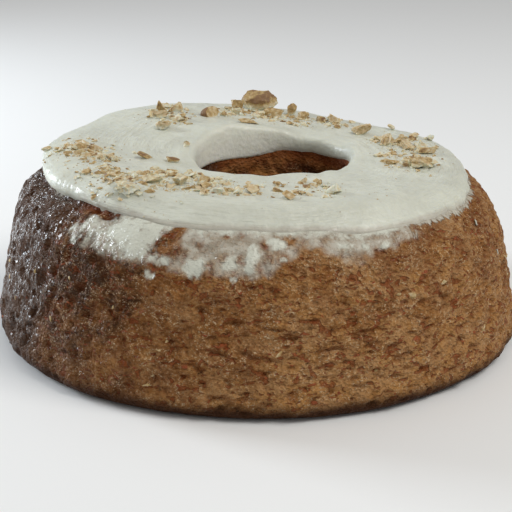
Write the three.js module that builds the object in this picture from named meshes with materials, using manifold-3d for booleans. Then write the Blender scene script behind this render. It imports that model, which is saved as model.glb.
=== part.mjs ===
// A ring-shaped carrot cake: a sponge turned out of a tube pan, iced on top and strewn with chopped nuts.
// Millimetres, +Z up. The origin is on the table, in the middle of the cake's foot.
// Angles are in degrees from the front (-Y), growing towards the right (+X).
// Places along the cross-section are arc lengths, from the foot up the outer wall and into the hole.

import * as THREE from "three";
import { ImprovedNoise } from "three/addons/math/ImprovedNoise.js";
import { mergeVertices } from "three/addons/utils/BufferGeometryUtils.js";
import Module from "manifold-3d";

const { degToRad, clamp, euclideanModulo, lerp, smoothstep, seededRandom } = THREE.MathUtils;

// Driving dimensions of the sponge: the corners of its cross-section, and how far each rounding reaches
const SPONGE_HEIGHT = 77;
const FOOT_RADIUS = 127.4;
const TOP_RADIUS = 112;
const HOLE_TOP_RADIUS = 37.5;
const HOLE_FOOT_RADIUS = 32.5;
const FOOT_ROUNDING = 11;
const SHOULDER_ROUNDING = 28;
const HOLE_TOP_ROUNDING = 3;
const HOLE_FOOT_ROUNDING = 5;

// How the baked shape strays from a turned one
const HOLE_OFFSET = new THREE.Vector2(7.5, 0);
const HOLE_WAVES = [
  { count: 4, reach: 0.9, angle: 45 },
  { count: 1, reach: 1, angle: -45 },
  { count: 2, reach: 2.6, angle: -50 },
];
const LEAN = new THREE.Vector2(-0.00036, 0.0002);
const WALL_WAVES = [
  { count: 2, share: 0.004, angle: 40 },
  { count: 3, share: 0.003, angle: -70 },
  { count: 7, share: 0.0025, angle: 15 },
];
const CRUST_RELIEF = 1.3;
const CRUST_LUMP = 15;
const FLAT_FOOT = 6;

// Driving dimensions of the icing
const ICING_THICKNESS = 6.5;
const ICING_SWELLS = [
  { count: 1, reach: 2.6, angle: -122 },
  { count: 2, reach: 1.1, angle: -145 },
];
const ICING_BULGES = [
  { height: -0.9, angle: -111, halfAngle: 11, power: 2 },
  { height: 1.5, angle: -136, halfAngle: 16, power: 2 },
  { height: 1.3, angle: 115, halfAngle: 22, power: 2 },
];
const ICING_FAT_ANGLE = -115;
const ICING_SKIN = 1.5;
const HOLE_FALL = { before: 2.5, after: 2 };
const HOLE_SAG = { height: 1.2, angle: -45, halfAngle: 40, power: 2 };
const SAG_WIDTH = 16;
const ICING_WAVE = 0.9;
const ICING_WAVE_LENGTH = 26;
const ICING_WAVE_LAYER = 0.5;
const ICING_CREST = 1.8;
const CREST_INSET = 12;
const CREST_WIDTH = 6;
const CREST_ANGLE = -25;
const CREST_FADE = { none: 0, full: 0.8 };
const OUTER_EDGE_SHARE = 0.66;
const OUTER_LOBES = [
  { count: 1, reach: 1.2, angle: 20 },
  { count: 3, reach: 0.9, angle: 25 },
  { count: 7, reach: 0.5, angle: -50 },
  { count: 11, reach: 0.4, angle: 130 },
];
const OUTER_RISES = [
  { height: 4, angle: 4, halfAngle: 16, power: 4 },
  { height: 2.6, angle: -43, halfAngle: 16, power: 4 },
];
const HOLE_EDGE_DROP = 1.2;
const HOLE_LOBES = [
  { count: 1, reach: 0.8, angle: -125 },
  { count: 2, reach: 0.9, angle: -120 },
  { count: 5, reach: 0.4, angle: 131 },
];
const HOLE_RISE = { height: 3.5, angle: 102, halfAngle: 20, power: 2 };
const OUTER_LIP = { fat: 7, feathered: 20, steep: 6 };
const STEEP_ANGLE = 95;
const STEEP_FADE = { none: 0.7, full: 0.95 };
const FAT_LIP = { least: 0.45, most: 0.85 };
const HOLE_LIP = 4;
const LIP_FLARE = { reach: 3.7, width: 9, power: 0.4 };
const EDGE_MARGIN = 4;
const ICING_ROOT = 5;
const GAP = 0.3;

// Mesh steps: round the ring, along each stretch of the sponge's outline, and across the icing
const RING_STEPS = 66;
const OUTLINE_STEPS = { foot: 4, wall: 6, shoulder: 6, top: 4, rim: 3, hole: 4, holeFoot: 2, base: 3 };
const ICING_STEPS = { lip: 7, top: 8, hole: 5 };
const ICING_STRETCHES = { lip: 9, hole: 6 };
const ROOT_STEPS = 5;

// The largest nut pieces: where each lies in plan, its length, width and height, and how it is turned about
// the vertical and tipped up
const NUT_CHUNKS = [
  { name: "nut_crown", at: [1, 85], size: [20, 14, 12], turn: 10, tip: 8 },
  { name: "nut_half", at: [-25, 53], size: [11, 9, 6], turn: 25, tip: -10 },
  { name: "nut_shard", at: [-49, 55], size: [14, 5, 5], turn: 60, tip: 55 },
  { name: "nut_flake_back", at: [-51, 45], size: [12, 9, 5], turn: -20, tip: 6 },
  { name: "nut_back_right", at: [54, 45], size: [9, 8, 7], turn: 40, tip: 12 },
  { name: "nut_right", at: [64, 23], size: [9, 9, 8], turn: -15, tip: 5 },
  { name: "nut_flake_right", at: [77, -17], size: [17, 9, 7], turn: 15, tip: 8 },
  { name: "nut_front_left", at: [-46, -58], size: [13, 9, 6], turn: 35, tip: 6 },
  { name: "nut_front_edge", at: [-55, -71], size: [14, 10, 6], turn: -30, tip: 5 },
  { name: "nut_front_inner", at: [-33, -59], size: [11, 8, 6], turn: 75, tip: 10 },
];

// Smaller pieces that stand out by themselves, fused to the icing: where each lies in plan, and its size
const NUT_BITS = [
  { at: [-42, 57], size: [6.5, 6, 5.5] },
  { at: [-47, 28], size: [7.5, 7, 5] },
  { at: [-11, 74], size: [7, 6, 8] },
  { at: [-18, 57], size: [3.8, 3.5, 3.2] },
  { at: [8.5, 66], size: [10.5, 7, 5.5] },
  { at: [-4.5, 42], size: [11, 6, 2.8] },
  { at: [18, 73], size: [5.4, 5.4, 8] },
  { at: [41, 64], size: [7.2, 6, 4.5] },
  { at: [33.5, 63], size: [4.8, 4.5, 4] },
  { at: [70, 56], size: [3.6, 3, 4] },
  { at: [80, 40], size: [5.4, 4, 3] },
  { at: [88, 38], size: [4.4, 4, 3.8] },
  { at: [75, 18], size: [7, 5, 3.6] },
  { at: [83, 11], size: [9, 6, 4.5] },
  { at: [13, -78], size: [6, 5, 4.5] },
  { at: [-22, -76], size: [4.8, 4.5, 3.8] },
  { at: [-34, -2], size: [3.6, 3.2, 3] },
  { at: [20, -49], size: [4, 3.5, 3] },
  { at: [-52, -22], size: [8, 5, 2.8] },
  { at: [-39, -24], size: [6.5, 4, 2.6] },
  { at: [-100, -6], size: [5, 4, 2.4] },
];

// Where the other small pieces lie: each heap's middle in plan, how far it spreads, and its pieces
const NUT_HEAPS = [
  { at: [2, 70], spread: [19, 14], count: 11 },
  { at: [38, 62], spread: [15, 9], count: 5 },
  { at: [73, 6], spread: [14, 28], count: 14 },
  { at: [-46, 52], spread: [14, 15], count: 8 },
  { at: [-81, -18], spread: [16, 22], count: 17 },
  { at: [-50, -61], spread: [28, 16], count: 32 },
  { at: [10, -62], spread: [34, 13], count: 10 },
];
const HEAP_SIZE = { least: 3.4, most: 7.5 };
const HEAP_WIDTH = { least: 0.6, most: 0.9 };
const HEAP_HEIGHT = { least: 0.4, most: 0.7 };
const HEAP_STRETCH = 1.4;
const NUT_SINK = 0.2;
const HEAP_SINK = 0.3;
const NUT_JITTER = 0.22;
const NUT_CLEARANCE = 1;
const HEAP_SEED = 4127;
const CHUNK_SEED_STEP = 100;
const BIT_SEED_STEP = 7;
const HEAP_SEED_STEP = 31;

const UP = new THREE.Vector3(0, 0, 1);
const noise = new ImprovedNoise();
const wasm = await Module();
wasm.setup();

// The sponge's cross-section, a closed path through rounded corners, anticlockwise in radius and height
function roundedOutline(corners) {
  const path = new THREE.Path();
  const step = (from, to, distance) => from.clone().add(to.clone().sub(from).setLength(distance));
  corners.forEach(({ corner, rounding }, i) => {
    const start = step(corner, corners.at(i - 1).corner, rounding);
    const end = step(corner, corners[(i + 1) % corners.length].corner, rounding);
    if (i === 0) path.moveTo(start.x, start.y);
    else path.lineTo(start.x, start.y);
    path.quadraticCurveTo(corner.x, corner.y, end.x, end.y);
  });
  return path.closePath();
}

const outline = roundedOutline([
  { corner: new THREE.Vector2(FOOT_RADIUS, 0), rounding: FOOT_ROUNDING },
  { corner: new THREE.Vector2(TOP_RADIUS, SPONGE_HEIGHT), rounding: SHOULDER_ROUNDING },
  { corner: new THREE.Vector2(HOLE_TOP_RADIUS, SPONGE_HEIGHT), rounding: HOLE_TOP_ROUNDING },
  { corner: new THREE.Vector2(HOLE_FOOT_RADIUS, 0), rounding: HOLE_FOOT_ROUNDING },
]);
const stretchEnds = outline.getCurveLengths();
const outlineLength = outline.getLength();
const [, wallEnd, shoulderEnd, topEnd, rimEnd] = stretchEnds;

// A sum of waves round the ring, each peaking at its own angle
function ringWaves(waves, angle, height) {
  return waves.reduce((sum, w) => sum + w[height] * Math.cos(degToRad(w.count * (angle - w.angle))), 0);
}

// The turn from one angle to another, the shorter way round
function turnBetween(angle, other) {
  return euclideanModulo(angle - other + 180, 360) - 180;
}

// A rise at one side of the ring that dies out to both sides, the more abruptly the higher its power
function bulge({ height, angle: middle, halfAngle, power }, angle) {
  return height * Math.exp(-(Math.abs(turnBetween(angle, middle) / halfAngle) ** power));
}
function bulges(rises, angle) {
  return rises.reduce((sum, rise) => sum + bulge(rise, angle), 0);
}

// How near an angle is to the side where the icing is fattest, from 0 at the opposite side to 1
function fatness(angle) {
  return (1 + Math.cos(degToRad(angle - ICING_FAT_ANGLE))) / 2;
}

// The point at an angle and an arc length on the crust, with its outward normal, without the crust's relief
function smoothCrust(angle, arc) {
  const share = clamp(arc / outlineLength, 0, 1);
  const { x: radius, y: height } = outline.getPoint(share);
  const tangent = outline.getTangent(share);
  const turn = degToRad(angle);
  const outwards = new THREE.Vector3(Math.sin(turn), -Math.cos(turn), 0);
  const offset = clamp((TOP_RADIUS - radius) / (TOP_RADIUS - HOLE_TOP_RADIUS), 0, 1);
  const wall = radius * (1 + ringWaves(WALL_WAVES, angle, "share"));
  const point = outwards.clone().multiplyScalar(wall + offset * ringWaves(HOLE_WAVES, angle, "reach"));
  point.x += HOLE_OFFSET.x * offset;
  point.y += HOLE_OFFSET.y * offset;
  point.z = height * (1 + LEAN.x * point.x + LEAN.y * point.y);
  const normal = outwards.clone().multiplyScalar(tangent.y);
  normal.z = -tangent.x;
  return { point, normal, outwards };
}

// The crust with its lumps, which die out on the flat foot
function crust(angle, arc) {
  const { point, normal } = smoothCrust(angle, arc);
  const lump = noise.noise(point.x / CRUST_LUMP, point.y / CRUST_LUMP, point.z / CRUST_LUMP);
  const relief = CRUST_RELIEF * lump * smoothstep(point.z, 0, FLAT_FOOT);
  return { point: point.addScaledVector(normal, relief), normal };
}

// Where the icing ends on the outer shoulder, higher up at the front and the front left, and where it ends
// inside the hole, higher up at the right
function outerEdge(angle) {
  const lobes = ringWaves(OUTER_LOBES, angle, "reach");
  return lerp(wallEnd, shoulderEnd, OUTER_EDGE_SHARE) - lobes + bulges(OUTER_RISES, angle);
}
function holeEdge(angle) {
  return rimEnd + HOLE_EDGE_DROP + ringWaves(HOLE_LOBES, angle, "reach") - bulge(HOLE_RISE, angle);
}

// A rounded edge: 1 once past the lip's width, 0 at the edge, and below the crust beyond it
function lip(distance, width) {
  if (distance < 0) return distance / width;
  const rest = 1 - Math.min(1, distance / width);
  return Math.sqrt(1 - rest * rest);
}

// The icing's thickness over the top: fattest at the back left, with a crest along the front, a sag towards
// the hole at the front left, and slow waves
function icingThickness(angle, arc, fromEdge, point) {
  const front = smoothstep(Math.cos(degToRad(angle - CREST_ANGLE)), CREST_FADE.none, CREST_FADE.full);
  const crest = ICING_CREST * front * Math.exp(-(((fromEdge - CREST_INSET) / CREST_WIDTH) ** 2));
  const wavePlace = [point.x / ICING_WAVE_LENGTH, point.y / ICING_WAVE_LENGTH, ICING_WAVE_LAYER];
  const wave = ICING_WAVE * noise.noise(...wavePlace);
  const sag = bulge(HOLE_SAG, angle) * Math.exp(-(((arc - rimEnd) / SAG_WIDTH) ** 2));
  const swell = ringWaves(ICING_SWELLS, angle, "reach") + bulges(ICING_BULGES, angle);
  return ICING_THICKNESS + swell + crest + wave - sag;
}

// How wide the icing's outer lip is: narrow on the fat side and at the right, feathered elsewhere
function lipWidth(angle, fat) {
  const steep = smoothstep(Math.cos(degToRad(angle - STEEP_ANGLE)), STEEP_FADE.none, STEEP_FADE.full);
  return lerp(lerp(OUTER_LIP.feathered, OUTER_LIP.fat, fat), OUTER_LIP.steep, steep);
}

// The icing's upper face: a skin on the crust with the rest heaped on it. On the fat side its lip stands
// out past the crust, and it drops off at the hole's rim.
function icingTop(angle, arc) {
  const { point, normal, outwards } = smoothCrust(angle, arc);
  const fromEdge = arc - outerEdge(angle);
  const fat = smoothstep(fatness(angle), FAT_LIP.least, FAT_LIP.most);
  const outer = lip(fromEdge, lipWidth(angle, fat));
  const pastRim = arc - rimEnd + bulge(HOLE_RISE, angle);
  const fall = 1 - smoothstep(pastRim, -HOLE_FALL.before, HOLE_FALL.after);
  const heap = fall * (icingThickness(angle, arc, fromEdge, point) - ICING_SKIN);
  const flare = LIP_FLARE.reach * fat * Math.exp(-((fromEdge / LIP_FLARE.width) ** 2));
  point.addScaledVector(normal, ICING_SKIN * Math.min(outer, lip(holeEdge(angle) - arc, HOLE_LIP)));
  point.addScaledVector(arc < (shoulderEnd + topEnd) / 2 ? normal : UP, heap * outer);
  return { point: point.addScaledVector(outwards, flare * Math.max(outer, 0) ** LIP_FLARE.power), normal };
}

// A closed ring: a lathe whose vertices are then set one by one, so that both seams meet exactly
function ring(steps, place) {
  const circle = new THREE.Path().absarc(2, 0, 1, 0, 2 * Math.PI);
  const geometry = new THREE.LatheGeometry(circle.getSpacedPoints(steps), RING_STEPS);
  const count = geometry.parameters.points.length;
  const position = geometry.getAttribute("position");
  for (let i = 0; i < position.count; i++) {
    const angle = ((Math.floor(i / count) % RING_STEPS) * 360) / RING_STEPS;
    const { x, y, z } = place(angle, (i % count) % steps).point;
    position.setXYZ(i, x, y, z);
  }
  return geometry;
}

// Between a three.js geometry and a solid that can be joined and cut
function toSolid(geometry) {
  geometry.deleteAttribute("normal");
  geometry.deleteAttribute("uv");
  const merged = mergeVertices(geometry);
  const vertProperties = merged.getAttribute("position").array;
  return new wasm.Manifold(new wasm.Mesh({ numProp: 3, vertProperties, triVerts: merged.index.array }));
}
function toGeometry(solid) {
  const { vertProperties, triVerts } = solid.getMesh();
  const geometry = new THREE.BufferGeometry();
  geometry.setAttribute("position", new THREE.BufferAttribute(new Float32Array(vertProperties), 3));
  geometry.setIndex(new THREE.BufferAttribute(new Uint32Array(triVerts), 1));
  geometry.computeVertexNormals();
  return geometry;
}

// The sponge, or the same form grown by a gap for cutting its neighbour
function sponge(grown = 0) {
  const stations = Object.values(OUTLINE_STEPS).flatMap((steps, stretch) => {
    const start = stretch ? stretchEnds[stretch - 1] : 0;
    return Array.from({ length: steps }, (_, k) => lerp(start, stretchEnds[stretch], k / steps));
  });
  return toSolid(
    ring(stations.length, (angle, step) => {
      const { point, normal } = crust(angle, stations[step]);
      return { point: point.addScaledVector(normal, grown) };
    }),
  );
}

// The arc lengths across the icing, set closer along its lip and in the hole
function icingStations(angle) {
  const edge = outerEdge(angle);
  const ends = [
    edge - EDGE_MARGIN,
    edge + ICING_STRETCHES.lip,
    rimEnd - ICING_STRETCHES.hole,
    holeEdge(angle) + EDGE_MARGIN,
  ];
  const across = Object.values(ICING_STEPS).flatMap((steps, stretch) =>
    Array.from({ length: steps }, (_, k) => lerp(ends[stretch], ends[stretch + 1], k / steps)),
  );
  return [...across, ends.at(-1)];
}

// The icing: its upper face with a root inside the sponge, less the sponge and a gap
function icingBody() {
  const last = Object.values(ICING_STEPS).reduce((sum, steps) => sum + steps);
  const blank = ring(last + ROOT_STEPS, (angle, step) => {
    const stations = icingStations(angle);
    if (step <= last) return icingTop(angle, stations[step]);
    const arc = lerp(stations[last], stations[0], (step - last) / ROOT_STEPS);
    const { point, normal } = smoothCrust(angle, arc);
    return { point: point.addScaledVector(normal, -ICING_ROOT) };
  });
  const pieces = toSolid(blank).subtract(sponge(GAP)).decompose();
  return pieces.sort((a, b) => b.volume() - a.volume())[0];
}

// A chopped piece of nut: a twenty-sided lump with its corners pushed in and out
function nutPiece([length, width, height], seed) {
  const geometry = new THREE.IcosahedronGeometry(0.5, 0);
  geometry.deleteAttribute("normal");
  geometry.deleteAttribute("uv");
  const lump = mergeVertices(geometry);
  const position = lump.getAttribute("position");
  for (let i = 0; i < position.count; i++) {
    const push = 1 + NUT_JITTER * (2 * seededRandom(seed + i) - 1);
    position.setXYZ(i, position.getX(i) * push, position.getY(i) * push, position.getZ(i) * push);
  }
  return lump.scale(length, width, height);
}

// Drops a piece of that height on the icing at a place in plan, sunk by a share of it, where there is icing
function restOn(surface, [x, y], height, sink) {
  const ray = new THREE.Raycaster(new THREE.Vector3(x, y, 2 * SPONGE_HEIGHT), new THREE.Vector3(0, 0, -1));
  const [hit] = ray.intersectObject(surface);
  return hit?.point.setZ(hit.point.z + height * (0.5 - sink));
}

// One of the largest pieces, cut to sit on the icing
function nutChunk({ at, size, turn, tip }, index, icing, surface) {
  const place = restOn(surface, at, size[2], NUT_SINK);
  const lump = nutPiece(size, CHUNK_SEED_STEP * (index + 1));
  lump.rotateY(degToRad(tip)).rotateZ(degToRad(turn)).translate(place.x, place.y, place.z);
  return toSolid(lump).subtract(icing.translate(0, 0, GAP));
}

// The smaller pieces that stand out by themselves
function nutBits(surface) {
  return NUT_BITS.map(({ at, size }, index) => {
    const { x, y, z } = restOn(surface, at, size[2], NUT_SINK);
    return toSolid(nutPiece(size, BIT_SEED_STEP * (index + 1)).translate(x, y, z));
  });
}

// The other small pieces, drawn heap by heap and kept clear of the largest ones
function nutHeaps(surface) {
  let seed = HEAP_SEED;
  const draw = () => seededRandom(seed++);
  const pieces = [];
  for (const { at, spread, count } of NUT_HEAPS) {
    for (let i = 0; i < count; i++) {
      const place = at.map((middle, axis) => middle + spread[axis] * (draw() + draw() - 1) * HEAP_STRETCH);
      const length = lerp(HEAP_SIZE.least, HEAP_SIZE.most, draw() ** 2);
      const width = length * lerp(HEAP_WIDTH.least, HEAP_WIDTH.most, draw());
      const height = length * lerp(HEAP_HEIGHT.least, HEAP_HEIGHT.most, draw());
      const lump = nutPiece([length, width, height], HEAP_SEED_STEP * seed).rotateZ(2 * Math.PI * draw());
      const clear = (chunk) => {
        const distance = Math.hypot(chunk.at[0] - place[0], chunk.at[1] - place[1]);
        return distance > (chunk.size[0] + length) / 2 + NUT_CLEARANCE;
      };
      const rest = restOn(surface, place, height, HEAP_SINK);
      if (!rest || !NUT_CHUNKS.every(clear)) continue;
      pieces.push(toSolid(lump.translate(rest.x, rest.y, rest.z)));
    }
  }
  return pieces;
}

// The named meshes
const spongeMaterial = new THREE.MeshStandardMaterial({ color: 0x7a5230, roughness: 0.85, metalness: 0 });
const icingMaterial = new THREE.MeshStandardMaterial({ color: 0xd6d8c8, roughness: 0.5, metalness: 0 });
const nutMaterial = new THREE.MeshStandardMaterial({ color: 0xb8925c, roughness: 0.65, metalness: 0 });

const cake = new THREE.Group();
function addMesh(name, solid, material) {
  const mesh = new THREE.Mesh(toGeometry(solid), material);
  mesh.name = name;
  cake.add(mesh);
}

const icing = icingBody();
const icingSurface = new THREE.Mesh(toGeometry(icing), icingMaterial);
addMesh("sponge", sponge(), spongeMaterial);
const smallNuts = [...nutBits(icingSurface), ...nutHeaps(icingSurface)];
addMesh("icing", smallNuts.reduce((joined, nut) => joined.add(nut), icing), icingMaterial);
NUT_CHUNKS.forEach((chunk, index) => {
  addMesh(chunk.name, nutChunk(chunk, index, icing, icingSurface), nutMaterial);
});

export default cake;
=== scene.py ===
"""The looks of a ring-shaped carrot cake: a pitted brown crust, pale spread icing and chopped nuts.

Lengths are in millimetres until a mesh is made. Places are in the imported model's frame, +Z up with the
front at -Y. Angles are in degrees from the front, growing towards the right (+X). Places along the sponge's
cross-section are arc lengths, from the foot up the outer wall, over the top and down into the hole.
"""

import logging
from dataclasses import dataclass, field
from enum import Enum
from functools import cached_property

import bmesh
import bpy
import numpy as np
from mathutils import Euler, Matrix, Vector, noise
from mathutils.bvhtree import BVHTree


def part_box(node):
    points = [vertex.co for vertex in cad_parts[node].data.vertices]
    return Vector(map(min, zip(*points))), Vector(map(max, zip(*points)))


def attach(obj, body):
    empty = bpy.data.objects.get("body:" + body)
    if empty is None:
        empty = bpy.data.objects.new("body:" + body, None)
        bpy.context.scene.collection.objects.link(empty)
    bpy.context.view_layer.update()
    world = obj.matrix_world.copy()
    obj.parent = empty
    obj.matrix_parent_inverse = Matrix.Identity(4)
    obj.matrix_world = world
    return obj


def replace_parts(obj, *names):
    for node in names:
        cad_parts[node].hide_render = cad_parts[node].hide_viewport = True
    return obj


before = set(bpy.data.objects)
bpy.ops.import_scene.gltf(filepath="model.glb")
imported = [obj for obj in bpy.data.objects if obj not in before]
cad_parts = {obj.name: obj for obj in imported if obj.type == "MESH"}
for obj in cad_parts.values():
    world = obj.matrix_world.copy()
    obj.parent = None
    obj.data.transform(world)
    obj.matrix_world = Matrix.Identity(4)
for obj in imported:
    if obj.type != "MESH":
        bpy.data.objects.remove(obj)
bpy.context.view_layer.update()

MM = 0.001
BODY = "root"
LOG = logging.getLogger("carrot_cake")

Colour = tuple[float, float, float]
Place = tuple[float, float, float]
Socket = bpy.types.NodeSocket
Piece = bpy.types.Object
Material = bpy.types.Material
Node = bpy.types.Node
Tree = bpy.types.NodeTree
Body = tuple[np.ndarray, np.ndarray, np.ndarray]


class Slot(Enum):
    """The record's material slots."""

    CRUST = "crust"
    ICING = "icing"
    NUT = "nut"
    CARROT = "carrot"


class Tone(Enum):
    """How far along the nuts' range of colours a piece is, from pale kernel to brown skin."""

    ICED = 0.0
    PALE = 0.16
    PEACH = 0.38
    GOLDEN = 0.6
    TOASTED = 0.76
    BROWN = 0.88


def smoothstep(value: np.ndarray | float, low: float, high: float) -> np.ndarray:
    """Rises smoothly from 0 at low to 1 at high."""
    share = np.clip((np.asarray(value) - low) / (high - low), 0, 1)
    return share * share * (3 - 2 * share)


def lerp(start: np.ndarray | float, end: np.ndarray | float, share: np.ndarray | float) -> np.ndarray:
    """The value a share of the way from start to end."""
    return start + (end - start) * share


def fade(distance: np.ndarray, width: np.ndarray | float) -> np.ndarray:
    """Falls smoothly from 1 at no distance towards 0 past a width."""
    return np.exp(-((distance / width) ** 2))


def half_turn(angle: np.ndarray) -> np.ndarray:
    """The same angles, from -180 to 180."""
    return (angle + 180) % 360 - 180


def outwards_at(angle: np.ndarray) -> np.ndarray:
    """The level directions away from the ring's axis, one a row."""
    turn = np.radians(angle)
    return np.stack([np.sin(turn), -np.cos(turn), np.zeros_like(turn)], 1)


def lumps(points: np.ndarray, size: float, squeeze: float = 1.0) -> np.ndarray:
    """Gradient noise at each point.

    Args:
        points: places, one a row.
        size: the length over which the noise changes.
        squeeze: how much flatter than wide its lumps are.

    Returns:
        Values from about -1 to 1.
    """
    scaled = points / size * np.array([1, 1, squeeze])
    return np.array([noise.noise(place) for place in scaled.tolist()])


def seeded(seed: int) -> float:
    """A random number, by the 32-bit rule that the solids' nuts are drawn with.

    Args:
        seed: the number that it is worked out from.

    Returns:
        A number from 0 to 1.
    """
    word = 0xFFFFFFFF
    mixed = (seed + 0x6D2B79F5) & word
    mixed = (mixed ^ mixed >> 15) * (mixed | 1) & word
    mixed ^= mixed + ((mixed ^ mixed >> 7) * (mixed | 61) & word) & word
    return ((mixed ^ mixed >> 14) & word) / (word + 1)


@dataclass(frozen=True)
class Wave:
    """A wave round the ring, highest at its own angle."""

    count: int
    height: float
    angle: float

    def at(self, angle: np.ndarray) -> np.ndarray:
        """The wave's height at each angle."""
        return self.height * np.cos(np.radians(self.count * (angle - self.angle)))


@dataclass(frozen=True)
class Bulge:
    """A rise at one side of the ring that dies out to both sides, the more abruptly the higher its power."""

    height: float
    angle: float
    half_angle: float
    power: int = 2

    def at(self, angle: np.ndarray) -> np.ndarray:
        """The rise at each angle."""
        aside = half_turn(angle - self.angle) / self.half_angle
        return self.height * np.exp(-np.abs(aside) ** self.power)


@dataclass(frozen=True)
class Side:
    """One side of the ring, which fades in between two cosines of the angle from its middle."""

    angle: float
    low: float
    high: float

    def at(self, angle: np.ndarray) -> np.ndarray:
        """How much each angle belongs to the side, from 0 to 1."""
        return smoothstep(np.cos(np.radians(angle - self.angle)), self.low, self.high)


@dataclass(frozen=True)
class Sector:
    """A stretch of the ring with soft ends: the angles where it begins, is full, starts to fade and ends."""

    start: float
    full: float
    fading: float
    end: float

    def at(self, angle: np.ndarray) -> np.ndarray:
        """How much each angle belongs to the stretch, from 0 to 1."""
        turned = half_turn(angle)
        return smoothstep(turned, self.start, self.full) * (1 - smoothstep(turned, self.fading, self.end))


@dataclass(frozen=True)
class Relief:
    """A layer of lumps: how high and wide they are, how flat they lie, and where their noise starts."""

    height: float
    size: float
    squeeze: float = 1.0
    shift: float = 0.0

    def at(self, points: np.ndarray) -> np.ndarray:
        """The layer's height at each point."""
        return self.height * lumps(points + self.shift, self.size, self.squeeze)


def risen(rises: tuple[Wave | Bulge, ...], angle: np.ndarray) -> np.ndarray:
    """The sum of several waves or bulges at each angle."""
    return sum(rise.at(angle) for rise in rises)


def heights(layers: tuple[Relief, ...], points: np.ndarray) -> np.ndarray:
    """The sum of several layers of lumps at each point."""
    return sum(layer.at(points) for layer in layers)


def combed(angle: np.ndarray, arc: np.ndarray, radius: float, across: float = 1.0) -> np.ndarray:
    """Coordinates for noise that runs in streaks.

    Args:
        angle: the angle of each point.
        arc: the arc length of each point.
        radius: the radius of a turn in these coordinates; a small one draws the streaks out round the ring.
        across: how much arc lengths are stretched; a small share draws the streaks out down the wall.

    Returns:
        A place for each point.
    """
    places = outwards_at(angle) * radius
    places[:, 2] = arc * across
    return places


@dataclass
class Surface:
    """Points of a surface with their outward normals and the level direction away from the ring's axis."""

    points: np.ndarray
    normals: np.ndarray
    outwards: np.ndarray


@dataclass
class Outline:
    """A cross-section as a fine chain of points, with the arc length where each stretch of it ends."""

    arc: np.ndarray
    place: np.ndarray
    tangent: np.ndarray
    ends: dict[str, float]


@dataclass(frozen=True)
class CakeForm:
    """The baked form of the sponge, as the solids have it: a rounded outline swept round a leaning ring."""

    height: float = 77
    foot_radius: float = 127.4
    top_radius: float = 112
    hole_top_radius: float = 37.5
    hole_foot_radius: float = 32.5
    roundings: tuple[float, ...] = (11, 28, 3, 5)
    curved: tuple[str, ...] = ("foot", "shoulder", "rim", "hole_foot")
    straight: tuple[str, ...] = ("wall", "top", "hole", "base")
    fineness: int = 80
    hole_offset: tuple[float, float] = (7.5, 0)
    hole_waves: tuple[Wave, ...] = (Wave(4, 0.9, 45), Wave(1, 1, -45), Wave(2, 2.6, -50))
    lean: tuple[float, float] = (-0.00036, 0.0002)
    waves: tuple[Wave, ...] = (Wave(2, 0.004, 40), Wave(3, 0.003, -70), Wave(7, 0.0025, 15))

    @cached_property
    def outline(self) -> Outline:
        """The cross-section in radius and height, through four rounded corners.

        Returns:
            The outline, from the start of the foot's rounding.
        """
        radii = (self.foot_radius, self.top_radius, self.hole_top_radius, self.hole_foot_radius)
        corners = np.array(list(zip(radii, (0, self.height, self.height, 0))))
        steps = np.linspace(0, 1, self.fineness)[:, None]
        chain, names = [], []
        for index, rounding in enumerate(self.roundings):
            following = (index + 1) % len(corners)
            corner, before, after = corners[index], corners[index - 1], corners[following]
            way_in = (before - corner) / np.linalg.norm(before - corner)
            way_out = (after - corner) / np.linalg.norm(after - corner)
            start, end = corner + way_in * rounding, corner + way_out * rounding
            reach = after - way_out * self.roundings[following]
            chain.append((1 - steps) ** 2 * start + 2 * steps * (1 - steps) * corner + steps**2 * end)
            chain.append(lerp(end, reach, steps))
            names += [self.curved[index], self.straight[index]]
        place = np.concatenate([stretch[:-1] for stretch in chain] + [chain[0][:1]])
        arc = np.concatenate([[0], np.cumsum(np.linalg.norm(np.diff(place, axis=0), axis=1))])
        tangent = np.gradient(place, arc, axis=0)
        tangent /= np.linalg.norm(tangent, axis=1)[:, None]
        ends = {name: arc[(order + 1) * (len(steps) - 1)] for order, name in enumerate(names)}
        return Outline(arc, place, tangent, ends)

    def crust(self, angle: np.ndarray, arc: np.ndarray) -> Surface:
        """The smooth crust, before its relief.

        Args:
            angle: the angle of each point round the ring.
            arc: the arc length of each point.

        Returns:
            The points on the crust.
        """
        line = self.outline
        columns = (*line.place.T, *line.tangent.T)
        radius, height, along, up = (np.interp(arc, line.arc, column) for column in columns)
        outwards = outwards_at(angle)
        shift = np.clip((self.top_radius - radius) / (self.top_radius - self.hole_top_radius), 0, 1)
        wall = radius * (1 + risen(self.waves, angle)) + shift * risen(self.hole_waves, angle)
        points = outwards * wall[:, None]
        points[:, :2] += shift[:, None] * np.array(self.hole_offset)
        points[:, 2] = height * (1 + points[:, :2] @ np.array(self.lean))
        normals = outwards * up[:, None]
        normals[:, 2] = -along
        return Surface(points, normals, outwards)


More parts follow.
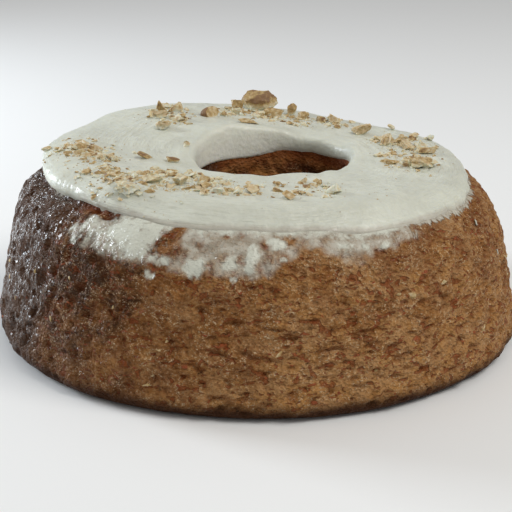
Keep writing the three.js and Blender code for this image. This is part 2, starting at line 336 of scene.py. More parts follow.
@dataclass
class MeshPile:
    """Vertices, faces and values on the vertices, gathered for one piece."""

    points: list[np.ndarray] = field(default_factory=list)
    faces: list[np.ndarray] = field(default_factory=list)
    values: dict[str, list[np.ndarray]] = field(default_factory=dict)
    count: int = 0

    def add(self, points: np.ndarray, faces: np.ndarray, **values: np.ndarray | float) -> None:
        """Adds one closed body.

        Args:
            points: its vertices.
            faces: its faces, as rows of indices into points.
            **values: a number or a vector for each vertex, or one number for all, by attribute.
        """
        self.points.append(points)
        self.faces.append(faces + self.count)
        self.count += len(points)
        for name, value in values.items():
            full = value if np.ndim(value) == 2 else np.broadcast_to(value, len(points))
            self.values.setdefault(name, []).append(full)

    def piece(self, name: str, material: Material, slot: Slot, *, smooth: bool = True) -> Piece:
        """Makes the piece and lets it ride on the cake.

        Args:
            name: the piece's name.
            material: its finish.
            slot: the record's slot that the finish belongs to; not used.
            smooth: whether its faces are shaded as one rounded skin.

        Returns:
            The new object.
        """
        mesh = bpy.data.meshes.new(name)
        faces = [row for group in self.faces for row in group.tolist()]
        mesh.from_pydata((np.concatenate(self.points) * MM).tolist(), [], faces)
        for attribute, parts in self.values.items():
            values = np.concatenate(parts).astype(np.float32)
            kind, key = ("FLOAT_VECTOR", "vector") if values.ndim == 2 else ("FLOAT", "value")
            layer = mesh.attributes.new(attribute, kind, "POINT")
            layer.data.foreach_set(key, values.ravel())
        mesh.polygons.foreach_set("use_smooth", [smooth] * len(mesh.polygons))
        mesh.materials.append(material)
        mesh.update()
        piece = bpy.data.objects.new(name, mesh)
        bpy.context.scene.collection.objects.link(piece)
        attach(piece, BODY)
        LOG.info("%s: %d vertices, %d faces", name, len(mesh.vertices), len(mesh.polygons))
        return piece


def ring_faces(around: int, across: int) -> np.ndarray:
    """The faces of a ring that is closed both ways.

    Args:
        around: how many steps it has round the ring.
        across: how many steps its cross-section has.

    Returns:
        Four indices a face, with the normals outwards.
    """
    turn, step = np.meshgrid(np.arange(around), np.arange(across), indexing="ij")
    next_turn, next_step = (turn + 1) % around, (step + 1) % across
    corners = ((turn, step), (next_turn, step), (next_turn, next_step), (turn, next_step))
    return np.stack([(row * across + column).ravel() for row, column in corners], 1)


def tree_of(piece: Piece) -> BVHTree:
    """A search tree of a piece's faces, for finding places on it."""
    mesh = piece.data
    return BVHTree.FromPolygons([v.co for v in mesh.vertices], [p.vertices for p in mesh.polygons])


@dataclass(frozen=True)
class Band:
    """A smooth step from a start to an end, between a low and a high reading."""

    low: float
    high: float
    start: float = 0.0
    end: float = 1.0


@dataclass(frozen=True)
class Mottle:
    """A layer of noise in a finish, and the band of its values that shows.

    Its lumps have a size, lie flatter than wide by the squeeze, and start at a shift in metres. Detail and
    strength say how much finer noise lies on them, and bend says how crooked they are.
    """

    size: float
    shown: Band = Band(0, 1)
    squeeze: float = 1.0
    shift: float = 0.0
    detail: float = 2.0
    strength: float = 0.5
    bend: float = 0.0


class Graph:
    """Adds nodes to one node tree and links them, so that a finish reads from top to bottom."""

    def __init__(self, tree: Tree) -> None:
        """Starts on a tree."""
        self.tree = tree

    def node(self, kind: str, inputs: dict[str | int, object] | None = None, **settings: object) -> Node:
        """Adds a node.

        Args:
            kind: the node's type.
            inputs: a socket to link from, or a plain value, for each of its inputs by name or number.
            **settings: the node's own properties.

        Returns:
            The new node.
        """
        made = self.tree.nodes.new(kind)
        for name, value in settings.items():
            setattr(made, name, value)
        self.feed(made, inputs or {})
        return made

    def feed(self, node: Node, inputs: dict[str | int, object]) -> None:
        """Links sockets to a node's inputs, and sets plain values on them.

        Args:
            node: the node.
            inputs: a socket or a plain value for each input by name or number.
        """
        for key, value in inputs.items():
            if isinstance(value, Socket):
                self.tree.links.new(value, node.inputs[key])
            else:
                node.inputs[key].default_value = value

    def place(self) -> Socket:
        """The piece's own coordinates, in metres."""
        return self.node("ShaderNodeTexCoord").outputs["Object"]

    def value(self, name: str) -> Socket:
        """A number kept on the mesh."""
        return self.node("ShaderNodeAttribute", attribute_name=name).outputs["Fac"]

    def vector(self, name: str) -> Socket:
        """A vector kept on the mesh."""
        return self.node("ShaderNodeAttribute", attribute_name=name).outputs["Vector"]

    def squeezed(self, place: Socket, squeeze: float, shift: float = 0.0) -> Socket:
        """Coordinates in which lumps come out flatter than wide, shifted so that layers differ."""
        inputs = {"Vector": place, "Scale": (1, 1, squeeze), "Location": (shift, shift, shift)}
        return self.node("ShaderNodeMapping", inputs).outputs["Vector"]

    def noise(self, place: Socket, layer: Mottle) -> Socket:
        """A layer's noise, from 0 to 1.

        Args:
            place: the coordinates that it is worked out from.
            layer: the layer.

        Returns:
            The noise.
        """
        inputs = {
            "Vector": self.squeezed(place, layer.squeeze, layer.shift),
            "Scale": 1 / (layer.size * MM),
            "Detail": layer.detail,
            "Roughness": layer.strength,
            "Distortion": layer.bend,
        }
        return self.node("ShaderNodeTexNoise", inputs).outputs["Fac"]

    def mottled(self, place: Socket, layer: Mottle) -> Socket:
        """A layer's noise within the band of it that shows."""
        return self.spread(self.noise(place, layer), layer.shown)

    def math(self, operation: str, first: object, second: object) -> Socket:
        """An operation on two numbers."""
        return self.node("ShaderNodeMath", {0: first, 1: second}, operation=operation).outputs[0]

    def times(self, first: object, second: object) -> Socket:
        """The product of two numbers."""
        return self.math("MULTIPLY", first, second)

    def plus(self, first: object, second: object) -> Socket:
        """The sum of two numbers."""
        return self.math("ADD", first, second)

    def minus(self, first: object, second: object) -> Socket:
        """The first number less the second."""
        return self.math("SUBTRACT", first, second)

    def larger(self, first: object, second: object) -> Socket:
        """The larger of two numbers."""
        return self.math("MAXIMUM", first, second)

    def centred(self, value: Socket) -> Socket:
        """Noise from 0 to 1, brought to -0.5 to 0.5."""
        return self.minus(value, 0.5)

    def between(self, share: object, first: object, second: object) -> Socket:
        """A number a share of the way from the first to the second."""
        return self.node("ShaderNodeMix", {0: share, 2: first, 3: second}, data_type="FLOAT").outputs[0]

    def spread(self, value: Socket, band: Band) -> Socket:
        """A number taken through a smooth step.

        Args:
            value: the number.
            band: the step.

        Returns:
            The new number.
        """
        ends = {"From Min": band.low, "From Max": band.high, "To Min": band.start, "To Max": band.end}
        made = self.node("ShaderNodeMapRange", {"Value": value, **ends}, interpolation_type="SMOOTHSTEP")
        return made.outputs["Result"]

    def mix(self, share: object, first: object, second: object, blend: str = "MIX") -> Socket:
        """Mixes two colours."""
        inputs = {0: share, 6: self.full(first), 7: self.full(second)}
        return self.node("ShaderNodeMix", inputs, data_type="RGBA", blend_type=blend).outputs[2]

    def ramp(self, value: Socket, stops: tuple[tuple[float, Colour], ...]) -> Socket:
        """A colour from a row of stops.

        Args:
            value: the number that picks the colour.
            stops: the number and the colour of each stop, in order.

        Returns:
            The colour.
        """
        made = self.node("ShaderNodeValToRGB", {"Fac": value})
        elements = made.color_ramp.elements
        while len(elements) < len(stops):
            elements.new(1)
        for element, (position, colour) in zip(elements, stops):
            element.position = position
            element.color = self.full(colour)
        return made.outputs["Color"]

    def bump(self, height: Socket, distance: float, strength: float = 1.0) -> Socket:
        """A normal bent by a height, with that distance between its low and high places."""
        inputs = {"Height": height, "Distance": distance * MM, "Strength": strength}
        return self.node("ShaderNodeBump", inputs).outputs["Normal"]

    def group(self, tree: Tree, inputs: dict[str, object]) -> Node:
        """Places a shared group of nodes."""
        return self.node("ShaderNodeGroup", inputs, node_tree=tree)

    @staticmethod
    def full(colour: object) -> object:
        """A colour with its alpha, or a socket as it is."""
        return (*colour, 1.0) if isinstance(colour, tuple) and len(colour) == 3 else colour


def new_material(name: str) -> tuple[Material, Graph, Node]:
    """A material with only its Principled shader.

    Args:
        name: the finish's name.

    Returns:
        The material, a graph on its tree, and the shader's node.
    """
    material = bpy.data.materials.new(name)
    material.use_nodes = True
    shader = material.node_tree.nodes["Principled BSDF"]
    return material, Graph(material.node_tree), shader


def new_group(
    name: str, inputs: dict[str, str], outputs: dict[str, str]
) -> tuple[Tree, Graph, dict[str, Socket]]:
    """An empty group of nodes that several finishes share.

    Args:
        name: the effect's name.
        inputs: the kind of each input socket.
        outputs: the kind of each output socket.

    Returns:
        The group, a graph on it, and its input sockets by name.
    """
    tree = bpy.data.node_groups.new(name, "ShaderNodeTree")
    for way, sockets in (("INPUT", inputs), ("OUTPUT", outputs)):
        for label, kind in sockets.items():
            tree.interface.new_socket(label, in_out=way, socket_type=f"NodeSocket{kind}")
    graph = Graph(tree)
    entry = graph.node("NodeGroupInput")
    return tree, graph, {label: entry.outputs[label] for label in inputs}


@dataclass(frozen=True)
class SharedEffects:
    """The groups of nodes that more than one finish uses."""

    grain_roughness: float = 0.55
    speck_fineness: float = 2.6
    speck_detail: float = 1.5
    bowl: Band = Band(0.1, 0.75)
    bowl_share: float = 0.6
    broad: Mottle = Mottle(16)
    fine: Mottle = Mottle(2.2)
    broad_share: float = 0.75
    mottle: Band = Band(0.36, 0.64)
    dullness: Band = Band(0.3, 0.7, 0.28, 0.46)
    fine_height: float = 0.6
    broad_height: float = 2.0

    @cached_property
    def crumb(self) -> Tree:
        """Baked or chopped grain: small lumps, finer specks between them, and their height.

        Returns:
            A group with inputs Place and Size and outputs Grain, Speck and Height.
        """
        tree, graph, given = new_group(
            "Crumb grain",
            {"Place": "Vector", "Size": "Float"},
            {"Grain": "Float", "Speck": "Float", "Height": "Float"},
        )
        scale = graph.math("DIVIDE", 1 / MM, given["Size"])
        coarse = {"Vector": given["Place"], "Scale": scale}
        fine = {"Vector": given["Place"], "Scale": graph.times(scale, self.speck_fineness)}
        lumpy = {**coarse, "Detail": 2.0, "Roughness": self.grain_roughness}
        grain = graph.node("ShaderNodeTexNoise", lumpy).outputs["Fac"]
        speck = graph.node("ShaderNodeTexNoise", {**fine, "Detail": self.speck_detail}).outputs["Fac"]
        cell = graph.node("ShaderNodeTexVoronoi", coarse).outputs["Distance"]
        height = graph.plus(grain, graph.times(graph.spread(cell, self.bowl), self.bowl_share))
        graph.node("NodeGroupOutput", {"Grain": grain, "Speck": speck, "Height": height})
        return tree

    @cached_property
    def icing(self) -> Tree:
        """Spread icing: its mottled colour, how dull it is, and its faint unevenness.

        Returns:
            A group with inputs Place, Light and Shade and outputs Color, Dullness and Height.
        """
        tree, graph, given = new_group(
            "Icing spread",
            {"Place": "Vector", "Light": "Color", "Shade": "Color"},
            {"Color": "Color", "Dullness": "Float", "Height": "Float"},
        )
        broad, fine = (graph.noise(given["Place"], layer) for layer in (self.broad, self.fine))
        mottle = graph.spread(graph.between(self.broad_share, fine, broad), self.mottle)
        height = graph.plus(graph.times(fine, self.fine_height), graph.times(broad, self.broad_height))
        outputs = {
            "Color": graph.mix(mottle, given["Shade"], given["Light"]),
            "Dullness": graph.spread(fine, self.dullness),
            "Height": height,
        }
        graph.node("NodeGroupOutput", outputs)
        return tree


@dataclass(frozen=True)
class IcingFinish:
    """Soft cheese icing: off-white, satin, a little translucent."""

    light: Colour = (0.69, 0.7, 0.6)
    shade: Colour = (0.625, 0.632, 0.537)
    sheer: Colour = (0.47, 0.42, 0.345)
    # Painted light: a whiter icing, laid on the hole's far wall where light falls on it.
    whitest: Colour = (0.93, 0.92, 0.81)
    sheer_patches: Mottle = Mottle(6, detail=3)
    sheer_uneven: float = 1.1
    sheer_cover: Band = Band(0.15, 1.0, 0.0, 0.7)
    streaks: Mottle = Mottle(1.6, detail=2.5)
    streaky: Mottle = Mottle(24, Band(0.4, 0.62, 0.2, 1.7), detail=1.5)
    streak_height: float = 1.0
    streak_strength: float = 0.6
    glow: float = 0.3
    glow_reach: Colour = (1.0, 0.9, 0.7)
    glow_depth: float = 3

    def spread(self, graph: Graph, shared: SharedEffects, place: Socket) -> Node:
        """Places the shared effect of spread icing, in this icing's colours."""
        colours = {"Light": (*self.light, 1), "Shade": (*self.shade, 1)}
        return graph.group(shared.icing, {"Place": place, **colours})

    def material(self, shared: SharedEffects) -> Material:
        """Builds the finish.

        Args:
            shared: the groups of nodes that finishes share.

        Returns:
            The material.
        """
        material, graph, shader = new_material("icing_satin")
        place = graph.place()
        spread = self.spread(graph, shared, place)
        uneven = graph.times(graph.centred(graph.noise(place, self.sheer_patches)), self.sheer_uneven)
        thin = graph.spread(graph.plus(graph.value("thin"), uneven), self.sheer_cover)
        colour = graph.mix(thin, spread.outputs["Color"], self.sheer)
        combed_there = graph.times(graph.mottled(place, self.streaky), graph.value("open"))
        streaks = graph.times(graph.noise(graph.vector("swept"), self.streaks), combed_there)
        height = graph.plus(spread.outputs["Height"], streaks)
        inputs = {
            # Painted light: whiter on the hole's far wall.
            "Base Color": graph.mix(graph.value("lit"), colour, self.whitest),
            "Roughness": spread.outputs["Dullness"],
            "Normal": graph.bump(height, self.streak_height, self.streak_strength),
            "Subsurface Weight": self.glow,
            "Subsurface Radius": self.glow_reach,
            "Subsurface Scale": self.glow_depth * MM,
        }
        graph.feed(shader, inputs)
        return material


@dataclass(frozen=True)
class CrustFinish:
    """The crust: brown crumb, dark pits, rusty flecks, a thin smear of icing, painted shade and painted
    glints.
    """

    darkest: Colour = (0.058, 0.023, 0.008)
    brown: Colour = (0.24, 0.105, 0.036)
    tan: Colour = (0.4, 0.21, 0.083)
    # Pale crumbs, and painted glints where light catches the crumb.
    crumb_light: Colour = (0.66, 0.52, 0.34)
    # Dark pits in the crumb; also the colour of painted shade in the dimples, under the icing's lip and under
    # its edge in the hole.
    pit: Colour = (0.19, 0.04, 0.008)
    rust: Colour = (0.29, 0.068, 0.024)
    warm: Colour = (1.0, 0.93, 0.75)
    # Painted shade along the foot, where the rounded underside turns away from the light.
    foot: Colour = (0.055, 0.019, 0.006)
    inside: Colour = (0.86, 0.76, 0.64)
    veil: tuple[Colour, Colour] = ((0.36, 0.315, 0.24), (0.54, 0.505, 0.42))
    icing: IcingFinish = IcingFinish()
    grain_size: float = 1.7
    squeeze: float = 1.3
    bake_share: float = 0.62
    grain_share: float = 0.6
    patch_share: float = 0.7
    darkening: float = 0.11
    tone_stops: tuple[float, ...] = (0.06, 0.38, 0.72)
    patches: Mottle = Mottle(7, squeeze=1.4, shift=0.3, detail=3, strength=0.6)
    warmth: Mottle = Mottle(11, Band(0.42, 0.62), squeeze=1.3, shift=4.4, detail=3, strength=0.6)
    # Pale crumbs and painted glints: bright specks on the lumps, gathered in patches.
    bright_specks: Band = Band(0.5, 0.66)
    bright_lumps: Band = Band(0.42, 0.6)
    bright_most: float = 0.75
    sugared: Mottle = Mottle(10, Band(0.42, 0.6, 0.25, 1.0), squeeze=1.3, shift=6.2, strength=0.6)
    # Dark pits drawn in the crumb and sunk a little; their darkness is partly painted shade.
    dark_marks: Mottle = Mottle(4.6, Band(0.58, 0.66), squeeze=1.6, shift=0.7, detail=1.5, bend=0.6)
    rust_marks: Mottle = Mottle(2.8, Band(0.6, 0.68), squeeze=2.2, shift=1.3, detail=1.5, bend=0.5)
    rust_gathered: Mottle = Mottle(24, Band(0.42, 0.58, 0.25, 1.0), squeeze=1.2, shift=2.6, detail=1.5)
    dark_most: float = 0.72
    rust_most: float = 0.8
    pit_most: float = 0.8
    moist_most: float = 0.92
    hole_contrast: Band = Band(0, 1, 1.0, 0.5)
    hole_relief: Band = Band(0, 1, 1.0, 0.55)
    mark_depth: float = 0.7
    dryness: Band = Band(0.35, 0.65, 0.85, 0.6)
    smear_gloss: float = 0.5
    relief_height: float = 1.1
    smeared_relief: float = 0.1
    beads: Mottle = Mottle(2.0, Band(0.4, 0.52, 0.1, 1.0), squeeze=0.6, shift=3.3, detail=1)
    bead_height: float = 3.2
    smeared_beads: float = 0.4
    coat_roughness: float = 0.07
    specular: float = 0.13
    soaked: Mottle = Mottle(7, Band(0.34, 0.54), squeeze=0.8, shift=5.1)
    glint: Band = Band(0.54, 0.64, 0.0, 0.15)
    torn: Mottle = Mottle(5.0, Band(0.35, 0.65), squeeze=0.85, shift=2.1, strength=0.45)
    strokes: Mottle = Mottle(1.4, detail=1.5)
    film_torn: float = 1.1
    film_soft: Band = Band(0.02, 0.8, 0.0, 0.94)
    film_crisp: Band = Band(0.36, 0.5)
    film_there: Band = Band(0.02, 0.25)
    lumps_through: Band = Band(0.42, 0.66, 1.0, 0.8)
    frays: Mottle = Mottle(2.8, squeeze=0.8, shift=3.7)
    daub_torn: float = 0.6
    daub_frayed: float = 1.6
    daub_cover: Band = Band(0.2, 0.95, 0.0, 0.9)
    daub_there: Band = Band(0.04, 0.25)

    def material(self, shared: SharedEffects) -> Material:
        """Builds the finish.

        Args:
            shared: the groups of nodes that finishes share.

        Returns:
            The material.
        """
        material, graph, shader = new_material("crust_baked")
        place = graph.place()
        level = graph.squeezed(place, self.squeeze)
        crumb = graph.group(shared.crumb, {"Place": level, "Size": self.grain_size})
        grain = crumb.outputs["Grain"]
        colour, marks = self.crumb_colour(graph, place, crumb)
        film, daub, veil = self.smears(graph, place, grain)
        colour = graph.mix(film, colour, veil)
        colour = graph.mix(daub, colour, self.icing.spread(graph, shared, place).outputs["Color"])
        smear = graph.larger(film, daub)
        bare = graph.minus(1.0, smear)
        gloss = graph.times(smear, self.smear_gloss)
        relief = graph.minus(crumb.outputs["Height"], graph.times(marks, self.mark_depth))
        relief = graph.times(relief, graph.between(bare, self.smeared_relief, 1.0))
        relief = graph.times(relief, graph.spread(graph.value("inner"), self.hole_relief))
        beads = graph.noise(place, self.beads)
        wet = graph.times(self.wet(graph, place, crumb, beads), bare)
        beads = graph.times(beads, graph.between(bare, self.smeared_beads, 1.0))
        inputs = {
            "Base Color": colour,
            "Roughness": graph.minus(graph.spread(grain, self.dryness), gloss),
            "Normal": graph.bump(relief, self.relief_height),
            "Coat Weight": graph.plus(wet, gloss),
            "Coat Normal": graph.bump(beads, self.bead_height),
            "Coat Roughness": self.coat_roughness,
            "Specular IOR Level": self.specular,
        }
        graph.feed(shader, inputs)
        return material

    def wet(self, graph: Graph, place: Socket, crumb: Node, beads: Socket) -> Socket:
        """How wet the bare crust is: soaked at the left, and with a few wet crumbs elsewhere.

        Args:
            graph: the material's graph.
            place: the piece's coordinates.
            crumb: the node of the crumb's grain.
            beads: the height of the drops that the soaked crust stands in.

        Returns:
            A share from 0 to 1.
        """
        soaked = graph.times(graph.mottled(place, self.soaked), graph.value("glossy"))
        soaked = graph.times(soaked, graph.spread(beads, self.beads.shown))
        return graph.larger(soaked, graph.spread(crumb.outputs["Speck"], self.glint))

    def crumb_colour(self, graph: Graph, place: Socket, crumb: Node) -> tuple[Socket, Socket]:
        """The colour of the bare crust, with painted shade in its pits and painted glints on its crumbs.

        Args:
            graph: the material's graph.
            place: the piece's coordinates.
            crumb: the node of the crumb's grain.

        Returns:
            The colour, and where its dark and rusty marks are sunk.
        """
        grain, speck = crumb.outputs["Grain"], crumb.outputs["Speck"]
        inner = graph.value("inner")
        contrast = graph.spread(inner, self.hole_contrast)
        fine = graph.times(graph.times(graph.centred(grain), contrast), self.grain_share)
        tone = graph.plus(graph.times(graph.value("bake"), self.bake_share), fine)
        tone = graph.plus(tone, graph.times(graph.noise(place, self.patches), self.patch_share))
        stops = tuple(zip(self.tone_stops, (self.darkest, self.brown, self.tan)))
        colour = graph.ramp(graph.minus(tone, self.darkening), stops)
        colour = graph.mix(graph.mottled(place, self.warmth), colour, self.warm, "MULTIPLY")
        # Pale crumbs and painted glints.
        bright = graph.times(graph.spread(speck, self.bright_specks), graph.spread(grain, self.bright_lumps))
        bright = graph.times(graph.times(bright, graph.mottled(place, self.sugared)), contrast)
        dark = graph.times(graph.mottled(place, self.dark_marks), contrast)
        rusty = graph.times(graph.mottled(place, self.rust_marks), graph.mottled(place, self.rust_gathered))
        rusty = graph.times(rusty, contrast)
        layers = (
            (bright, self.bright_most, self.crumb_light),
            (dark, self.dark_most, self.pit),
            (rusty, self.rust_most, self.rust),
            # Painted shade: the dimples, the groove under the icing's lip, and the crumb under the icing in
            # the hole.
            (graph.value("pit"), self.pit_most, self.pit),
            (graph.value("moist"), self.moist_most, self.darkest),
        )
        for share, most, shade in layers:
            colour = graph.mix(graph.times(share, most), colour, shade)
        colour = graph.mix(inner, colour, self.inside, "MULTIPLY")
        # Painted shade along the foot.
        return graph.mix(graph.value("foot_band"), colour, self.foot), graph.larger(dark, rusty)

    def smears(self, graph: Graph, place: Socket, grain: Socket) -> tuple[Socket, Socket, Socket]:
        """How the thin smear of icing covers the crust.

        Args:
            graph: the material's graph.
            place: the piece's coordinates.
            grain: the crumb's lumps, which stand through the smear.

        Returns:
            The shares that the thin film and the thicker daubs cover, and the film's colour.
        """
        brushed, film, daub = (graph.value(name) for name in ("brushed", "film", "daub"))
        strokes = graph.noise(graph.vector("downwards"), self.strokes)
        torn = graph.between(brushed, graph.noise(place, self.torn), strokes)
        uneven = graph.centred(torn)
        amount = graph.plus(film, graph.times(uneven, self.film_torn))
        soft, crisp = graph.spread(amount, self.film_soft), graph.spread(amount, self.film_crisp)
        thin = graph.times(graph.between(brushed, soft, crisp), graph.spread(film, self.film_there))
        thin = graph.times(thin, graph.spread(grain, self.lumps_through))
        frayed = graph.centred(graph.noise(place, self.frays))
        frayed = graph.plus(frayed, graph.times(uneven, self.daub_torn))
        amount = graph.plus(daub, graph.times(frayed, self.daub_frayed))
        thick = graph.times(graph.spread(amount, self.daub_cover), graph.spread(daub, self.daub_there))
        return thin, thick, graph.mix(graph.spread(torn, self.torn.shown), *self.veil)


@dataclass(frozen=True)
class BitFinish:
    """The finish of small bits: each bit's own tone picks from a row of colours, under a fine grain."""

    name: str
    stops: tuple[tuple[float, Colour], ...]
    grain_size: float
    wander: float
    dullness: Band
    bump_height: float
    bump_strength: float = 0.6
    specular: float = 0.5
    glow: float = 0.0
    glow_reach: Colour = (1.0, 0.7, 0.4)
    glow_depth: float = 1.5

    def material(self, shared: SharedEffects) -> Material:
        """Builds the finish.

        Args:
            shared: the groups of nodes that finishes share.

        Returns:
            The material.
        """
        material, graph, shader = new_material(self.name)
        crumb = graph.group(shared.crumb, {"Place": graph.place(), "Size": self.grain_size})
        wander = graph.times(graph.centred(crumb.outputs["Grain"]), self.wander)
        inputs = {
            "Base Color": graph.ramp(graph.plus(graph.value("tone"), wander), self.stops),
            "Roughness": graph.spread(crumb.outputs["Speck"], self.dullness),
            "Normal": graph.bump(crumb.outputs["Height"], self.bump_height, self.bump_strength),
            "Specular IOR Level": self.specular,
            "Subsurface Weight": self.glow,
            "Subsurface Radius": self.glow_reach,
            "Subsurface Scale": self.glow_depth * MM,
        }
        graph.feed(shader, inputs)
        return material


@dataclass(frozen=True)
class NutFinish(BitFinish):
    """Chopped nuts: kernels pale with icing to golden brown skin, dry."""

    name: str = "nut_chopped"
    stops: tuple[tuple[float, Colour], ...] = (
        (0.0, (0.68, 0.675, 0.55)),
        (0.16, (0.68, 0.6, 0.39)),
        (0.4, (0.61, 0.475, 0.29)),
        (0.64, (0.46, 0.315, 0.125)),
        (0.95, (0.24, 0.13, 0.055)),
    )
    grain_size: float = 1.8
    wander: float = 1.1
    dullness: Band = Band(0.3, 0.7, 0.5, 0.75)
    bump_height: float = 0.25
    glow: float = 0.2


@dataclass(frozen=True)
class CarrotFinish(BitFinish):
    """Baked shreds of carrot: rust red to orange, slightly moist."""

    name: str = "carrot_baked"
    stops: tuple[tuple[float, Colour], ...] = ((0.1, (0.2, 0.042, 0.013)), (0.9, (0.3, 0.085, 0.022)))
    grain_size: float = 1.1
    wander: float = 1.0
    dullness: Band = Band(0.3, 0.7, 0.55, 0.75)
    bump_height: float = 0.3
    specular: float = 0.25


@dataclass
class IcingCoat:
    """The icing over the top: a skin on the crust with the rest heaped on it."""

    form: CakeForm
    thickness: float = 6.5
    swells: tuple[Wave | Bulge, ...] = (
        Wave(1, 2.6, -122),
        Wave(2, 1.1, -145),
        Bulge(-0.9, -111, 11),
        Bulge(1.5, -136, 16),
        Bulge(1.3, 115, 22),
    )
    fat_angle: float = -115
    fat_range: tuple[float, float] = (0.45, 0.85)
    skin: float = 1.5
    slow_wave: Relief = Relief(0.9, 26)
    crest: float = 1.5
    crest_side: Side = Side(-25, 0, 0.8)
    crest_inset: float = 12
    crest_width: tuple[float, float] = (5, 8)
    edge_share: float = 0.66
    edge_lobes: tuple[Wave, ...] = (Wave(1, 1.2, 20), Wave(3, 0.9, 25), Wave(7, 0.5, -50), Wave(11, 0.4, 130))
    edge_rises: tuple[Bulge, ...] = (Bulge(4, 4, 16, 4), Bulge(2.6, -43, 16, 4))
    ragged: float = 1.1
    ragged_side: Side = Side(85, 0.55, 0.9)
    ragged_least: float = 0.12
    teeth: tuple[Relief, ...] = (Relief(1, 3.1), Relief(0.8, 7.3))
    hole_drop: float = 1.2
    hole_lobes: tuple[Wave, ...] = (Wave(1, 0.8, -125), Wave(2, 0.9, -120), Wave(5, 0.4, 131))
    hole_rise: Bulge = Bulge(3.5, 102, 20)
    hole_fall: tuple[float, float] = (-2.5, 2)
    hole_sag: Bulge = Bulge(1.2, -45, 40)
    sag_width: float = 16
    hole_lip: float = 4
    fat_lip: float = 7
    feathered_lip: float = 20
    steep_lip: float = 6
    steep_side: Side = Side(95, 0.7, 0.95)
    softness: float = 0.65
    dive: float = 3
    deepest: float = 0.6
    sheer_width: float = 4
    fat_opaque: float = 0.8
    steep_opaque: float = 0.7
    flare: float = 3.7
    flare_width: float = 9
    flare_power: float = 0.4
    streak: float = 0.36
    streak_turn: float = 1.5
    streak_width: float = 3.4
    finer_streaks: tuple[float, ...] = (2.2, 2.2, 2.1)
    finer_share: float = 0.5
    streaky: float = 0.55
    streaky_size: float = 30
    calm_lip: float = 0.8
    calm_width: float = 12
    dents: Relief = Relief(0.35, 9)
    rim_dents: Relief = Relief(1.9, 12)
    rim_reach: float = 9
    margin: float = 4
    root: float = 2.5
    drawn_out: float = 0.1
    smooth_rim: float = 16
    # Painted light on the icing: the side of the hole's far wall that is whitened, and the drop past the rim
    # where it starts.
    lit_wall: Side = Side(-140, 0.25, 0.9)
    lit_drop: tuple[float, float] = (-4.5, 1)
    around: int = 620
    steps: tuple[int, ...] = (34, 48, 30)
    stretches: tuple[float, float] = (10, 6)
    under: int = 26

    def fatness(self, angle: np.ndarray) -> np.ndarray:
        """How near an angle is to the side where the icing is fattest, from 0 to 1."""
        return (1 + np.cos(np.radians(angle - self.fat_angle))) / 2

    def outer_edge(self, angle: np.ndarray) -> np.ndarray:
        """The arc length where the icing ends on the shoulder.

        Args:
            angle: the angles asked for.

        Returns:
            The arc length at each angle, with the edge's ragged teeth.
        """
        ends = self.form.outline.ends
        teeth = heights(self.teeth, outwards_at(angle) * self.form.top_radius)
        return (
            lerp(ends["wall"], ends["shoulder"], self.edge_share)
            - risen(self.edge_lobes, angle)
            + risen(self.edge_rises, angle)
            - self.ragged * (self.ragged_least + self.ragged_side.at(angle)) * teeth
        )

    def hole_edge(self, angle: np.ndarray) -> np.ndarray:
        """The arc length where the icing ends inside the hole."""
        drop = self.hole_drop + risen(self.hole_lobes, angle) - self.hole_rise.at(angle)
        return self.form.outline.ends["rim"] + drop

    def lip(
        self, distance: np.ndarray, width: np.ndarray | float, soft: np.ndarray | float = 0
    ) -> np.ndarray:
        """An edge: 1 past the lip's width, 0 at the edge, and below the crust beyond it.

        Args:
            distance: how far each point is inside the edge.
            width: the lip's width.
            soft: how much the edge slopes instead of being round.

        Returns:
            The share of the full thickness.
        """
        share = np.clip(distance / width, 0, 1)
        edge = lerp(np.sqrt(1 - (1 - share) ** 2), np.sin(share * np.pi / 2), soft)
        return np.where(distance < 0, np.maximum(self.dive * distance / width, -self.deepest), edge)

    def top(self, angle: np.ndarray, arc: np.ndarray, edge: np.ndarray) -> tuple[np.ndarray, np.ndarray]:
        """The icing's upper face.

        Args:
            angle: the angle of each point.
            arc: the arc length of each point.
            edge: the arc length of the outer edge at each point's angle.

        Returns:
            The points, and how thinly the icing covers the crust there, from 0 to 1.
        """
        ends = self.form.outline.ends
        base = self.form.crust(angle, arc)
        inside = arc - edge
        fat = smoothstep(self.fatness(angle), *self.fat_range)
        steep = self.steep_side.at(angle)
        width = lerp(lerp(self.feathered_lip, self.fat_lip, fat), self.steep_lip, steep)
        outer = self.lip(inside, width, self.softness * (1 - fat) * (1 - steep))
        past_rim = arc - ends["rim"] + self.hole_rise.at(angle)
        fall = 1 - smoothstep(past_rim, *self.hole_fall)
        heap = fall * (self.heaped(angle, arc, inside, base.points) - self.skin)
        skin = self.skin * np.minimum(outer, self.lip(self.hole_edge(angle) - arc, self.hole_lip))
        middle = (ends["shoulder"] + ends["top"]) / 2
        way = np.where((arc < middle)[:, None], base.normals, np.array([0, 0, 1]))
        points = base.points + base.normals * skin[:, None] + way * (heap * outer)[:, None]
        flare = self.flare * fat * fade(inside, self.flare_width) * np.maximum(outer, 0) ** self.flare_power
        thin = 1 - smoothstep(inside, 0, self.sheer_width)
        thin = thin * (1 - self.fat_opaque * fat) * (1 - self.steep_opaque * steep)
        return points + base.outwards * flare[:, None], thin

